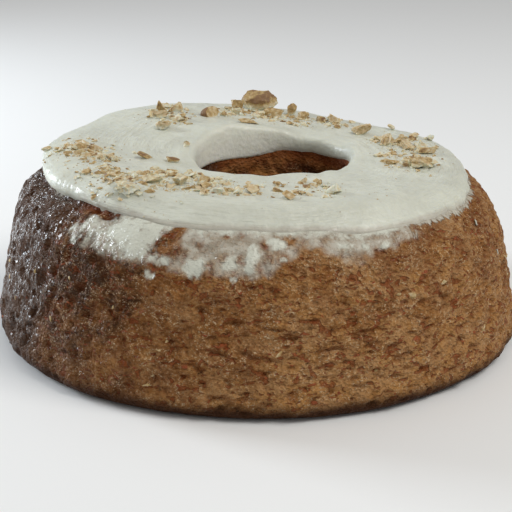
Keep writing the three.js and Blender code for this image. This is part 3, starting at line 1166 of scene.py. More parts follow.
    def heaped(
        self, angle: np.ndarray, arc: np.ndarray, inside: np.ndarray, points: np.ndarray
    ) -> np.ndarray:
        """The icing's thickness over the top: a crest along the front, slow waves and the spatula's streaks.

        Args:
            angle: the angle of each point.
            arc: the arc length of each point.
            inside: how far each point is from the outer edge.
            points: the crust under each point.

        Returns:
            The thickness at each point.
        """
        past = inside - self.crest_inset
        crest = self.crest * self.crest_side.at(angle) * fade(past, np.where(past < 0, *self.crest_width))
        swept = combed(angle, arc, self.streak_turn, 1 / self.streak_width)
        streaks = lumps(swept, 1) + self.finer_share * lumps(swept * np.array(self.finer_streaks), 1)
        streaks *= self.streaky + lumps(points, self.streaky_size)
        streaks *= 1 - self.calm_lip * self.fatness(angle) * fade(inside, self.calm_width)
        wave = self.slow_wave.at(points * np.array([1, 1, 0]))
        from_rim = arc - self.form.outline.ends["rim"]
        dents = self.dents.at(points) + fade(from_rim, self.rim_reach) * self.rim_dents.at(points)
        sag = self.hole_sag.at(angle) * fade(from_rim, self.sag_width)
        even = self.thickness + risen(self.swells, angle) - sag
        return even + crest + wave + dents + self.streak * streaks

    def build(self, finish: Material) -> Piece:
        """Makes the icing, a closed ring with its underside inside the sponge.

        Args:
            finish: the icing's material.

        Returns:
            The piece that stands for the solid icing.
        """
        angles = np.arange(self.around) * 360 / self.around
        edge, hole = self.outer_edge(angles), self.hole_edge(angles)
        rim = self.form.outline.ends["rim"]
        lip_end, hole_start = edge + self.stretches[0], np.full(self.around, rim - self.stretches[1])
        ends = [edge - self.margin, lip_end, hole_start, hole + self.margin]
        spans = [*zip(ends, ends[1:], self.steps), (ends[-1], ends[0], self.under)]
        rows = [np.linspace(start, end, count, endpoint=False) for start, end, count in spans]
        across = sum(len(row) for row in rows)
        arc = np.concatenate(rows).T.ravel()
        angle = np.repeat(angles, across)
        on_top = np.tile(np.arange(across) <= sum(self.steps), self.around)
        points, thin = self.top(angle, arc, np.repeat(edge, across))
        base = self.form.crust(angle, arc)
        points[~on_top] = (base.points - base.normals * self.root)[~on_top]
        pile = MeshPile()
        pile.add(
            points,
            ring_faces(self.around, across),
            thin=thin,
            swept=combed(angle, arc, self.form.top_radius * self.drawn_out) * MM,
            open=1 - fade(arc - rim, self.smooth_rim),
            # Painted light on the hole's far wall.
            lit=self.lit_wall.at(angle) * smoothstep(arc - rim, *self.lit_drop),
        )
        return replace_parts(pile.piece("icing_coat", finish, Slot.ICING), "icing")


@dataclass(frozen=True)
class SmearPatch:
    """A patch of the thin smear: where it is below the icing's edge, how far it spreads, how dense it is."""

    angle: float
    drop: float
    half_angle: float
    half_drop: float
    density: float

    def over(self, density: np.ndarray, angle: np.ndarray, drop: np.ndarray) -> np.ndarray:
        """Lays the patch over a density, or wipes it out where its own is negative.

        Args:
            density: the density below it.
            angle: the angle of each place, from -180 to 180.
            drop: how far each place is below the icing's edge.

        Returns:
            The new density.
        """
        away = ((angle - self.angle) / self.half_angle) ** 2 + ((drop - self.drop) / self.half_drop) ** 2
        if self.density > 0:
            return np.maximum(density, self.density * np.exp(-(away**2)))
        return density + self.density * np.exp(-away)


@dataclass(frozen=True)
class Dimples:
    """A layer of hollows in the crust, which lie level at most sides and stand upright at the left."""

    depth: float
    level: Relief
    upright: Relief
    shown: tuple[float, float]

    def at(self, points: np.ndarray, upright: np.ndarray) -> np.ndarray:
        """The layer's depth at each point, with how upright it is there from 0 to 1."""
        lumpy = lerp(self.level.at(points), self.upright.at(points), upright)
        return self.depth * smoothstep(lumpy, *self.shown)


@dataclass
class SpongeCrust:
    """The sponge with its crust: lumps, pits, and the places that are moist, darkened as painted shade, or
    smeared with icing.
    """

    form: CakeForm
    icing: IcingCoat
    broad: Relief = Relief(1.3, 15)
    coarse: Relief = Relief(1.1, 6.5, 1.3)
    fine: tuple[Relief, Relief] = (Relief(0.7, 3.4, 1.2), Relief(0.7, 3.4, 0.6))
    torn: Relief = Relief(1.8, 9, 1.7, 11)
    film_share: float = 0.9
    smeared_calm: float = 0.85
    moist_calm: float = 0.35
    daub_height: float = 0.6
    pit_depth: float = 1.7
    dimples: tuple[Dimples, ...] = (
        Dimples(1.0, Relief(1, 5.6, 1.8), Relief(1, 5.2, 0.8), (0.22, 0.6)),
        Dimples(0.7, Relief(1, 3.6, 1.8, 70), Relief(1, 3.6, 0.8, 70), (0.26, 0.6)),
    )
    upright: Sector = Sector(-180, -150, -38, -8)
    row_pits: Relief = Relief(1, 4.6, 0.6, 31)
    row_shown: tuple[float, float] = (0.1, 0.35)
    row_height: float = 45
    row_width: float = 7
    row_sector: Sector = Sector(-88, -76, -46, -38)
    smeared_pits: float = 0.75
    gap_depth: float = 0.9
    gap_drop: float = 2
    gap_width: float = 2.4
    gap_sector: Sector = Sector(-100, -75, -46, -35)
    flat_foot: float = 6
    hole_calm: float = 0.85
    hole_calm_width: float = 5
    edge_calm: float = 0.6
    edge_calm_width: float = 2.5
    # Painted shade: how dark the dimples are made, and the painted shadow under the icing in the hole.
    pit_dark: float = 0.45
    hole_dark: float = 0.8
    hole_dark_width: float = 6
    hole_dark_start: float = -3
    moist_sector: Sector = Sector(-150, -115, -58, -34)
    moist_wander: Relief = Relief(14, 22)
    gloss_low: float = 0.4
    gloss_rise: tuple[float, float] = (8, 34)
    brushed: Side = Side(85, 0.5, 0.85)
    stroke_stretch: float = 0.14
    # Painted shade along the foot: how its upper edge wanders and the heights over which it fades.
    foot_wander: Relief = Relief(1.5, 12)
    foot_dark: tuple[float, float] = (3.5, 10)
    bake_middle: float = 0.46
    bake_turn: float = -0.06
    bake_left: Bulge = Bulge(-0.72, -46, 30)
    bake_low: float = 0.66
    bake_low_left: Bulge = Bulge(0.85, -75, 42)
    bake_patches: tuple[Relief, ...] = (Relief(0.34, 34), Relief(0.28, 13))
    lining: float = 0.2
    lining_patches: Relief = Relief(0.8, 9, 1.7)
    # Painted shade on the right of the hole's lining, and the span across which it comes in.
    lining_shade: float = 0.6
    lining_shaded: tuple[float, float] = (10, 26)
    lined: tuple[float, float] = (45, 60)
    around: int = 600
    steps: dict[str, int] = field(
        default_factory=lambda: {
            "foot": 13, "wall": 72, "shoulder": 38, "top": 2, "rim": 4, "hole": 33, "hole_foot": 2, "base": 2,
        }
    )
    crowding: dict[str, float] = field(default_factory=lambda: {"hole": 1.6})
    film_sector: Sector = Sector(-52, -36, 25, 45)
    edge_film: tuple[float, float] = (0.3, 0.85)
    edge_reach: tuple[float, float] = (2.5, 3.5)
    stroke_film: float = 0.75
    stroke_reach: float = 3.6
    films: tuple[SmearPatch, ...] = (
        SmearPatch(-31, 9, 10, 12, 1.0),
        SmearPatch(-41, 12, 6, 8, 0.7),
        SmearPatch(-26.5, 8, 5, 13, 1.0),
        SmearPatch(-10, 5, 9, 12, 1.0),
        SmearPatch(-1, 5, 8, 12, 0.95),
        SmearPatch(5, 5, 5, 10, 0.75),
        SmearPatch(-12, 17, 10, 6, 0.5),
        SmearPatch(-1, 17, 6, 6, 0.5),
        SmearPatch(12, 2.5, 6, 7, 0.7),
        SmearPatch(20, 5, 7, 10, 0.8),
        SmearPatch(29, 3, 6, 7, 0.6),
        SmearPatch(36, 3, 5, 5, 0.5),
        SmearPatch(-44.5, 9.5, 1.2, 2.5, -0.7),
        SmearPatch(-42, 17, 1.6, 2, -0.6),
        SmearPatch(-44, 2, 7, 3, -0.9),
        SmearPatch(-38, 3, 2.5, 2.4, -0.8),
        SmearPatch(-19.3, 1, 1.5, 2.5, -0.9),
        SmearPatch(-20.2, 4.5, 1.5, 3, -0.9),
        SmearPatch(-21.3, 8.5, 1.5, 3.5, -0.9),
        SmearPatch(-22.3, 12.5, 1.5, 3, -0.8),
        SmearPatch(-12.9, 7.5, 1.4, 3.2, -0.8),
        SmearPatch(-7.7, 3.2, 2, 1.6, -0.7),
        SmearPatch(-4.1, 3, 0.9, 1.6, -0.6),
        SmearPatch(1.2, 6.5, 1.2, 4.5, -0.7),
        SmearPatch(6.8, 5, 1.7, 4, -0.7),
    )
    daub_sector: Sector = Sector(-38, -30, 30, 45)
    edge_daub: float = 0.75
    edge_daub_reach: float = 3.4
    edge_daub_cover: float = 20
    daubs: tuple[SmearPatch, ...] = (
        SmearPatch(-31, 9, 9, 11, 1.05),
        SmearPatch(-27, 8, 4.5, 12, 1.1),
        SmearPatch(-30, 2, 6, 5, 1.0),
        SmearPatch(-40, 12, 5, 7, 0.7),
        SmearPatch(-46, 14, 1.2, 3, 0.8),
        SmearPatch(-44, 19, 1.2, 2, 0.7),
        SmearPatch(-36, 13, 1.6, 3, -0.6),
        SmearPatch(-38.5, 6, 2.4, 3, -0.7),
        SmearPatch(-32, 16, 1.4, 2.4, -0.5),
        SmearPatch(-19.5, 2, 1.5, 4, -0.9),
        SmearPatch(-21, 17, 3, 3, 0.75),
        SmearPatch(-12.8, 18.5, 2.8, 4.5, 0.95),
        SmearPatch(-5.6, 16, 2.2, 3.6, 0.9),
        SmearPatch(-1.2, 14, 1.6, 7, 0.9),
        SmearPatch(3.8, 6.5, 2.3, 3.6, 0.95),
        SmearPatch(5.6, 14, 0.9, 1.8, 0.8),
        SmearPatch(-4.8, 23, 0.9, 1.7, 0.75),
        SmearPatch(-22.5, 23.5, 1.5, 2.4, 0.75),
        SmearPatch(19.3, 8, 2.2, 5, 0.6),
        SmearPatch(24, 7, 1.1, 2.6, 0.8),
        SmearPatch(28.8, 7.5, 1.3, 2, 0.7),
        SmearPatch(12.5, 2.5, 2, 2.5, 0.6),
    )

    def film(self, angle: np.ndarray, drop: np.ndarray) -> np.ndarray:
        """How densely each place on the crust is smeared with a thin film of icing.

        Args:
            angle: the angle of each place, from -180 to 180.
            drop: how far each place is below the icing's edge.

        Returns:
            A density from 0 to 1.
        """
        front, strokes = self.film_sector.at(angle), self.brushed.at(angle)
        most = np.maximum(lerp(*self.edge_film, front), self.stroke_film * strokes)
        reach = np.maximum(lerp(*self.edge_reach, front), self.stroke_reach * strokes)
        density = most * fade(drop, reach)
        for patch in self.films:
            density = patch.over(density, angle, drop)
        return np.clip(density, 0, 1)

    def daub(self, angle: np.ndarray, drop: np.ndarray) -> np.ndarray:
        """How thickly each place on the crust is daubed, along the icing's front edge and in patches.

        Args:
            angle: the angle of each place, from -180 to 180.
            drop: how far each place is below the icing's edge.

        Returns:
            A density of about 0 to 1.
        """
        run_out = fade(np.maximum(drop, 0), self.edge_daub_reach) * (drop > -self.edge_daub_cover)
        density = self.edge_daub * self.daub_sector.at(angle) * run_out
        for patch in self.daubs:
            density = patch.over(density, angle, drop)
        return density

    def build(self, finish: Material) -> Piece:
        """Makes the sponge, a closed ring with its relief and the values that its finish reads.

        Args:
            finish: the crust's material.

        Returns:
            The piece that stands for the solid sponge.
        """
        stations = self.stations()
        angle = np.repeat(np.arange(self.around) * 360 / self.around, len(stations))
        arc = np.tile(stations, self.around)
        base = self.form.crust(angle, arc)
        height = base.points[:, 2]
        turned, drop = half_turn(angle), self.icing.outer_edge(angle) - arc
        film, daub = self.film(turned, drop), self.daub(turned, drop)
        smear = np.maximum(self.film_share * film, daub)
        moist = self.moist_sector.at(turned + self.moist_wander.at(base.points))
        standing = smoothstep(height, 0, self.flat_foot) * self.calm(angle, arc, drop)
        hollow = self.hollows(angle, base.points) * standing * (1 - self.smeared_pits * smear)
        gap = fade(drop - self.gap_drop, self.gap_width) * self.gap_sector.at(angle)
        raised = self.raised(base.points, smear, daub, moist) * standing
        depth = self.pit_depth * hollow + self.gap_depth * gap
        # Painted shade in the dimples, in the groove under the icing's lip and below the icing's edge in the
        # hole.
        dark = np.maximum(self.pit_dark * hollow, gap)
        dark = np.maximum(dark, self.hole_dark * self.hole_shade(angle, arc))
        pile = MeshPile()
        pile.add(
            base.points + base.normals * (raised - depth)[:, None],
            ring_faces(self.around, len(stations)),
            pit=dark,
            film=film,
            daub=daub,
            moist=moist,
            glossy=moist * lerp(self.gloss_low, 1.0, smoothstep(height, *self.gloss_rise)),
            brushed=self.brushed.at(angle),
            downwards=combed(angle, arc, self.form.top_radius, self.stroke_stretch) * MM,
            bake=self.bake(angle, base.points),
            inner=self.inner(base.points),
            # Painted shade along the foot.
            foot_band=1 - smoothstep(height + self.foot_wander.at(base.points), *self.foot_dark),
        )
        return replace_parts(pile.piece("sponge_crust", finish, Slot.CRUST), "sponge")

    def stations(self) -> np.ndarray:
        """Where the mesh's rows lie, closer together at the start of a crowded stretch.

        Returns:
            Their arc lengths.
        """
        ends = self.form.outline.ends
        starts = dict(zip(ends, [0, *ends.values()]))
        rows = []
        for name, count in self.steps.items():
            shares = np.linspace(0, 1, count, endpoint=False) ** self.crowding.get(name, 1)
            rows.append(lerp(starts[name], ends[name], shares))
        return np.concatenate(rows)

    def calm(self, angle: np.ndarray, arc: np.ndarray, drop: np.ndarray) -> np.ndarray:
        """How much relief the crust keeps: little where the icing ends, so that its edges are clean.

        Args:
            angle: the angle of each point.
            arc: the arc length of each point.
            drop: how far each point is below the icing's outer edge.

        Returns:
            A share from 0 to 1.
        """
        in_hole = 1 - self.hole_calm * fade(arc - self.icing.hole_edge(angle), self.hole_calm_width)
        return in_hole * (1 - self.edge_calm * fade(drop, self.edge_calm_width))

    def hollows(self, angle: np.ndarray, points: np.ndarray) -> np.ndarray:
        """How deep the crust's dimples are, with a row of deeper ones along the moist side.

        Args:
            angle: the angle of each point.
            points: the points of the smooth crust.

        Returns:
            A depth from 0 to 1.
        """
        upright = self.upright.at(angle)
        depth = sum(layer.at(points, upright) for layer in self.dimples)
        row = fade(points[:, 2] - self.row_height, self.row_width) * self.row_sector.at(angle)
        return np.clip(depth + row * smoothstep(self.row_pits.at(points), *self.row_shown), 0, 1)

    def raised(
        self, points: np.ndarray, smear: np.ndarray, daub: np.ndarray, moist: np.ndarray
    ) -> np.ndarray:
        """How far the crust's lumps stand out.

        Args:
            points: the points of the smooth crust.
            smear: how much each is smeared with icing.
            daub: how thickly each is daubed with it.
            moist: how moist each is.

        Returns:
            The height at each point.
        """
        rough = self.coarse.at(points) + lerp(*(layer.at(points) for layer in self.fine), moist)
        rough *= (1 - self.smeared_calm * smear) * (1 - self.moist_calm * moist)
        torn = self.inner(points) * self.torn.at(points)
        return self.broad.at(points) + rough + self.daub_height * daub + torn

    def hole_shade(self, angle: np.ndarray, arc: np.ndarray) -> np.ndarray:
        """Painted shadow on the crumb below the icing's edge in the hole, from 0 to 1."""
        past = arc - self.icing.hole_edge(angle)
        return fade(np.maximum(past, 0), self.hole_dark_width) * (past > self.hole_dark_start)

    def bake(self, angle: np.ndarray, points: np.ndarray) -> np.ndarray:
        """How light the crust's colour is: darkest at the front left and lightest low down, with painted
        shade on the right of the hole's lining.

        Args:
            angle: the angle of each point.
            points: the points of the smooth crust.

        Returns:
            A value of about 0 to 1, with patches.
        """
        side = self.bake_turn * np.sin(np.radians(angle)) + self.bake_left.at(angle)
        low = self.bake_low * (1 - points[:, 2] / self.form.height) ** 2
        low *= 1 - self.bake_low_left.at(angle)
        # Painted shade on the right of the hole's lining.
        shaded = self.lining_shade * smoothstep(points[:, 0], *self.lining_shaded)
        lining = self.inner(points) * (self.lining + self.lining_patches.at(points) - shaded)
        return self.bake_middle + side + low + lining + heights(self.bake_patches, points)

    def inner(self, points: np.ndarray) -> np.ndarray:
        """Where the crust lines the hole, from 0 to 1."""
        return 1 - smoothstep(np.hypot(points[:, 0], points[:, 1]), *self.lined)


class Fineness(Enum):
    """How finely a chopped piece is divided."""

    ROUGH = 1
    MEDIUM = 2
    FINE = 3


@dataclass
class Chopped:
    """Cuts nut pieces out of round ones, as a knife does."""

    seed: int
    radius: float = 0.5
    nearest: tuple[float, float] = (0.1, 0.34)
    uneven: float = 0.05
    half_cut: float = 0.12
    half_skin: float = 1.6
    clean_from: tuple[float, float] = (0.35, 0.6)
    iced_fade: float = 0.3

    def __post_init__(self) -> None:
        """Starts a row of random draws and readies the round bodies."""
        self.draws = np.random.default_rng(self.seed)
        self.balls = {level: self.ball(level) for level in Fineness}

    def ball(self, level: Fineness) -> tuple[np.ndarray, np.ndarray]:
        """A round body of triangles.

        Args:
            level: how finely it is divided.

        Returns:
            Its vertices about its middle, and its faces.
        """
        shape = bmesh.new()
        bmesh.ops.create_icosphere(shape, subdivisions=level.value, radius=self.radius)
        shape.verts.index_update()
        points = np.array([vertex.co[:] for vertex in shape.verts])
        faces = np.array([[vertex.index for vertex in face.verts] for face in shape.faces])
        shape.free()
        return points, faces

    def piece(
        self, size: np.ndarray, level: Fineness, cuts: int, nearest: tuple[float, float] | None = None
    ) -> Body:
        """A piece with flat cuts and blunt corners.

        Args:
            size: its length, width and height.
            level: how finely it is divided.
            cuts: how many flat cuts it has.
            nearest: how near the middle the deepest and the shallowest cut may come, if not as usual.

        Returns:
            Its vertices about its middle, its faces, and how much skin the knife left on each vertex.
        """
        points, faces = self.balls[level]
        points = points.copy()
        skin = np.ones(len(points))
        for _ in range(cuts):
            way = self.draws.normal(size=3)
            way /= np.linalg.norm(way)
            over = np.maximum(points @ way - self.draws.uniform(*(nearest or self.nearest)), 0)
            points -= over[:, None] * way
            skin[over > 0] = 0
        span = np.ptp(points, axis=0)
        points = (points - points.min(0)) / span - 0.5
        points *= 1 + self.uneven * self.draws.normal(size=(len(points), 1))
        return points * np.asarray(size), faces, skin

    def half(self, size: np.ndarray, face: Place) -> Body:
        """A halved nut, round but for its cut face.

        Args:
            size: its length, width and height.
            face: the direction that its cut faces.

        Returns:
            Its vertices about its middle, its faces, and more skin than a chopped piece has.
        """
        points, faces = self.balls[Fineness.FINE]
        way = np.array(face) / np.linalg.norm(face)
        over = np.maximum(points @ way - self.half_cut, 0)
        skin = np.where(over > 0, 0.0, self.half_skin)
        return (points - over[:, None] * way) * np.asarray(size), faces, skin

    def iced(self, points: np.ndarray, tone: np.ndarray | float) -> np.ndarray:
        """The tone of each vertex, paler low down where the piece is smeared with icing.

        Args:
            points: the piece's vertices.
            tone: their tones when clean.

        Returns:
            The tones.
        """
        low, high = points[:, 2].min(), points[:, 2].max()
        clean = self.draws.uniform(*self.clean_from)
        return tone * smoothstep((points[:, 2] - low) / (high - low), clean - self.iced_fade, clean)

    @staticmethod
    def turned(points: np.ndarray, turn: float, tip: float) -> np.ndarray:
        """The points tipped about Y and then turned about Z.

        Args:
            points: the points.
            turn: the angle about Z, in degrees.
            tip: the angle about Y, in degrees.

        Returns:
            The turned points.
        """
        a, b = np.radians(tip), np.radians(turn)
        tipped = np.array([[np.cos(a), 0, np.sin(a)], [0, 1, 0], [-np.sin(a), 0, np.cos(a)]])
        level = np.array([[np.cos(b), -np.sin(b), 0], [np.sin(b), np.cos(b), 0], [0, 0, 1]])
        return points @ (level @ tipped).T


@dataclass(frozen=True)
class Chunk:
    """One of the largest nut pieces, as the solids place it."""

    node: str
    at: tuple[float, float]
    size: Place
    turn: float
    tip: float
    tone: Tone
    lumps: int = 2
    face: Place | None = None
    cuts: int = 9
    nearest: tuple[float, float] | None = None
    sink: float = 0.2


@dataclass(frozen=True)
class Bit:
    """A smaller nut piece that stands out by itself, as the solids place it."""

    at: tuple[float, float]
    size: Place
    tone: Tone


@dataclass(frozen=True)
class Heap:
    """A heap of smaller nut pieces: its middle, how far it spreads, and how many pieces the solids have."""

    at: tuple[float, float]
    spread: tuple[float, float]
    count: int


@dataclass(frozen=True)
class Strewing:
    """A kind of fine bits in the heaps: how many a usual heap has, their sizes, and how they are strewn.

    The higher the shortness, the more of the lengths are short. Widths and heights are shares of the length.
    Wide is a share of the heap's spread, and beside is the share of bits that lie beside a smaller piece.
    """

    name: str
    each: int
    length: tuple[float, float]
    shortness: float
    width: tuple[float, float]
    height: tuple[float, float]
    cuts: int
    wide: float
    beside: float


@dataclass
class NutTopping:
    """The chopped nuts on the icing: the largest pieces, the smaller ones, crumbs and dust."""

    icing: Piece
    seed: int = 90
    solid_seed: int = 4127
    solid_draws: int = 8
    least: float = 3.4
    most: float = 7.5
    heap_width: tuple[float, float] = (0.6, 0.9)
    heap_height: tuple[float, float] = (0.4, 0.7)
    heap_throw: float = 1.4
    usual_heap: int = 16
    cuts: int = 8
    sink: float = 0.2
    heap_sink: float = 0.3
    crumb_sink: float = 0.52
    clearance: float = 1
    lump_share: float = 0.72
    tip_spread: float = 12
    skin_tone: float = 0.32
    chunk_uneven: float = 0.12
    bit_uneven: float = 0.1
    seat_reach: float = 1.2
    seat_scatter: float = 3.2
    above: float = 200
    steepest: float = 0.5
    heap_shares: tuple[float, ...] = (0.26, 0.3, 0.22, 0.15, 0.05, 0.02)
    crumb_shares: tuple[float, ...] = (0.22, 0.28, 0.26, 0.16, 0.05, 0.03)
    strewings: tuple[Strewing, ...] = (
        Strewing("nut_crumbs", 170, (1.5, 5.2), 1.5, (0.5, 0.95), (0.35, 0.65), 6, 0.5, 0.65),
        Strewing("nut_dust", 260, (0.35, 1.0), 1, (0.5, 1), (0.3, 0.6), 1, 0.7, 0.4),
    )
    chunks: tuple[Chunk, ...] = (
        Chunk("nut_crown", (1, 85), (20, 14, 12), 10, 8, Tone.TOASTED, 1, cuts=14, nearest=(0.39, 0.48)),
        Chunk("nut_half", (-25, 53), (11, 9, 6), 25, -10, Tone.GOLDEN, 1, (0.55, -0.8, 0.25)),
        Chunk("nut_shard", (-49, 55), (14, 5, 5), 60, 55, Tone.PEACH, 1),
        Chunk("nut_flake_back", (-51, 45), (12, 9, 5), -20, 6, Tone.PEACH),
        Chunk("nut_back_right", (54, 45), (9, 8, 7), 40, 12, Tone.PEACH, 1),
        Chunk("nut_right", (64, 23), (9, 9, 8), -15, 5, Tone.PEACH),
        Chunk("nut_flake_right", (77, -17), (17, 9, 7), 15, 8, Tone.PEACH, 4),
        Chunk("nut_front_left", (-46, -58), (13, 9, 6), 35, 6, Tone.PALE, 3, sink=0.3),
        Chunk("nut_front_edge", (-55, -71), (14, 10, 6), -30, 5, Tone.PALE, 3, sink=0.38),
        Chunk("nut_front_inner", (-33, -59), (11, 8, 6), 75, 10, Tone.PEACH),
    )
    bits: tuple[Bit, ...] = (
        Bit((-42, 57), (6.5, 6, 5.5), Tone.PEACH),
        Bit((-47, 28), (7.5, 7, 5), Tone.PEACH),
        Bit((-11, 74), (7, 6, 8), Tone.GOLDEN),
        Bit((-18, 57), (3.8, 3.5, 3.2), Tone.GOLDEN),
        Bit((8.5, 66), (10.5, 7, 5.5), Tone.GOLDEN),
        Bit((-4.5, 42), (11, 6, 2.8), Tone.GOLDEN),
        Bit((18, 73), (5.4, 5.4, 8), Tone.GOLDEN),
        Bit((41, 64), (7.2, 6, 4.5), Tone.PEACH),
        Bit((33.5, 63), (4.8, 4.5, 4), Tone.GOLDEN),
        Bit((70, 56), (3.6, 3, 4), Tone.PALE),
        Bit((80, 40), (5.4, 4, 3), Tone.PEACH),
        Bit((88, 38), (4.4, 4, 3.8), Tone.ICED),
        Bit((75, 18), (7, 5, 3.6), Tone.PEACH),
        Bit((83, 11), (9, 6, 4.5), Tone.PEACH),
        Bit((13, -78), (6, 5, 4.5), Tone.GOLDEN),
        Bit((-22, -76), (4.8, 4.5, 3.8), Tone.GOLDEN),
        Bit((-34, -2), (3.6, 3.2, 3), Tone.PEACH),
        Bit((20, -49), (4, 3.5, 3), Tone.PEACH),
        Bit((-52, -22), (8, 5, 2.8), Tone.GOLDEN),
        Bit((-39, -24), (6.5, 4, 2.6), Tone.GOLDEN),
        Bit((-100, -6), (5, 4, 2.4), Tone.PALE),
    )
    heaps: tuple[Heap, ...] = (
        Heap((2, 70), (19, 14), 11),
        Heap((38, 62), (15, 9), 5),
        Heap((73, 6), (14, 28), 14),
        Heap((-46, 52), (14, 15), 8),
        Heap((-81, -18), (16, 22), 17),
        Heap((-50, -61), (28, 16), 32),
        Heap((10, -62), (34, 13), 10),
    )

    def __post_init__(self) -> None:
        """Readies the knife, the search tree and the draws."""
        self.knife = Chopped(self.seed)
        self.tree = tree_of(self.icing)
        self.draws = np.random.default_rng(self.seed + 1)
        self.seats: list[list[float]] = []

    def floor(self, x: float, y: float) -> tuple[Vector, Vector] | None:
        """The icing below a place in plan.

        Args:
            x: the place, in millimetres.
            y: the place, in millimetres.

        Returns:
            The point and the normal there, in millimetres, or nothing over the hole or past the edge.
        """
        point, normal, _, _ = self.tree.ray_cast(Vector((x, y, self.above)) * MM, Vector((0, 0, -1)))
        if point is None or normal.z < self.steepest:
            return None
        return point / MM, normal

    def largest(self, finish: Material) -> list[Piece]:
        """Makes the largest pieces, each in the place of its solid.

        Args:
            finish: the nuts' material.

        Returns:
            The pieces.
        """
        made = []
        for chunk in self.chunks:
            low, high = (np.array(corner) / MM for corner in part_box(chunk.node))
            place, _ = self.floor(*chunk.at)
            middle = np.array([*((low + high) / 2)[:2], place.z + chunk.size[2] * (0.5 - chunk.sink)])
            pile = MeshPile()
            part = np.array(chunk.size) * (1 if chunk.lumps == 1 else self.lump_share)
            for _ in range(chunk.lumps):
                if chunk.face is None:
                    points, faces, skin = self.knife.piece(part, Fineness.FINE, chunk.cuts, chunk.nearest)
                else:
                    points, faces, skin = self.knife.half(part, chunk.face)
                points += self.draws.uniform(-0.5, 0.5, 3) * (np.array(chunk.size) - part)
                tone = chunk.tone.value + self.chunk_uneven * self.draws.normal()
                points = self.knife.turned(points, chunk.turn, chunk.tip)
                tones = self.knife.iced(points, tone + self.skin_tone * skin)
                pile.add(points + middle, faces, tone=tones)
            piece = pile.piece(f"{chunk.node}_chopped", finish, Slot.NUT, smooth=False)
            made.append(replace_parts(piece, chunk.node))
        return made

    def smaller(self, finish: Material) -> Piece:
        """Makes the smaller pieces where the solid icing has them.

        Args:
            finish: the nuts' material.

        Returns:
            One piece that holds them all.
        """
        pile, seed = MeshPile(), self.solid_seed
        for bit in self.bits:
            self.lay(pile, list(bit.at), np.array(bit.size), 0, self.sink, bit.tone, Fineness.FINE, self.cuts)
        for heap in self.heaps:
            for _ in range(heap.count):
                draws = [seeded(seed + step) for step in range(self.solid_draws)]
                seed += len(draws)
                *throws, long, wide, high, turn = draws
                place = self.thrown(heap, throws)
                length = lerp(self.least, self.most, long**2)
                size = length * np.array([1, lerp(*self.heap_width, wide), lerp(*self.heap_height, high)])
                if self.clear(place, length) and self.floor(*place):
                    tone = self.drawn_tone(self.heap_shares)
                    self.lay(pile, place, size, 360 * turn, self.heap_sink, tone, Fineness.FINE, self.cuts)
                    self.seats.append(place)
        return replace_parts(pile.piece("nut_pieces", finish, Slot.NUT, smooth=False), "icing")

    def thrown(self, heap: Heap, throws: list[float]) -> list[float]:
        """The place in a heap that two throws for each axis give.

        Args:
            heap: the heap.
            throws: four numbers from 0 to 1.

        Returns:
            The place in plan.
        """
        sums = (throws[0] + throws[1], throws[2] + throws[3])
        axes = zip(heap.at, heap.spread, sums)
        return [middle + spread * (total - 1) * self.heap_throw for middle, spread, total in axes]

    def clear(self, place: list[float], length: float) -> bool:
        """Whether a piece of a given length stays clear of the largest ones.

        Args:
            place: where it would lie in plan.
            length: its length.

        Returns:
            Whether its gap to each of them is large enough.
        """
        gaps = []
        for chunk in self.chunks:
            reach = (chunk.size[0] + length) / 2
            gaps.append(np.hypot(*np.subtract(chunk.at, place)) - reach)
        return min(gaps) > self.clearance

    def drawn_tone(self, shares: tuple[float, ...]) -> Tone:
        """A tone drawn by the share of pieces that have each one."""
        return list(Tone)[self.draws.choice(len(Tone), p=shares)]

    def lay(
        self,
        pile: MeshPile,
        place: list[float],
        size: np.ndarray,
        turn: float,
        sink: float,
        tone: Tone,
        level: Fineness,
        cuts: int,
    ) -> None:
        """Lays a piece on the icing, unless the place is over the hole or past the edge.

        Args:
            pile: the pile that it joins.
            place: where it lies in plan.
            size: its length, width and height.
            turn: how it is turned, in degrees.
            sink: the share of its height that is sunk into the icing.
            tone: its colour.
            level: how finely it is divided.
            cuts: how many flat cuts it has.
        """
        ground = self.floor(*place)
        if ground is None:
            return
        points, faces, skin = self.knife.piece(size, level, cuts)
        points = self.knife.turned(points, turn, self.draws.normal(0, self.tip_spread))
        lift = np.array(ground[0]) + np.array([0, 0, size[2] * (0.5 - sink)])
        tones = tone.value + self.skin_tone * skin + self.bit_uneven * self.draws.normal(size=len(points))
        pile.add(points + lift, faces, tone=self.knife.iced(points, tones))

    def scatter(self, finish: Material) -> list[Piece]:
        """Makes the crumbs and the dust in and round the heaps.

        Args:
            finish: the nuts' material.

        Returns:
            One piece of each kind.
        """
        piles = {kind: MeshPile() for kind in self.strewings}
        for heap in self.heaps:
            for kind, pile in piles.items():
                for _ in range(round(kind.each * (heap.count / self.usual_heap))):
                    self.strew(pile, heap, kind)
        return [pile.piece(kind.name, finish, Slot.NUT, smooth=False) for kind, pile in piles.items()]

    def strew(self, pile: MeshPile, heap: Heap, kind: Strewing) -> None:
        """Strews one bit.

        Args:
            pile: the pile that it joins.
            heap: the heap that it lies in.
            kind: its kind.
        """
        length = lerp(*kind.length, self.draws.random() ** kind.shortness)
        size = length * np.array([1, self.draws.uniform(*kind.width), self.draws.uniform(*kind.height)])
        turn, tone = self.draws.uniform(0, 360), self.drawn_tone(self.crumb_shares)
        place = self.strewn(heap, kind)
        self.lay(pile, place, size, turn, self.crumb_sink, tone, Fineness.ROUGH, kind.cuts)

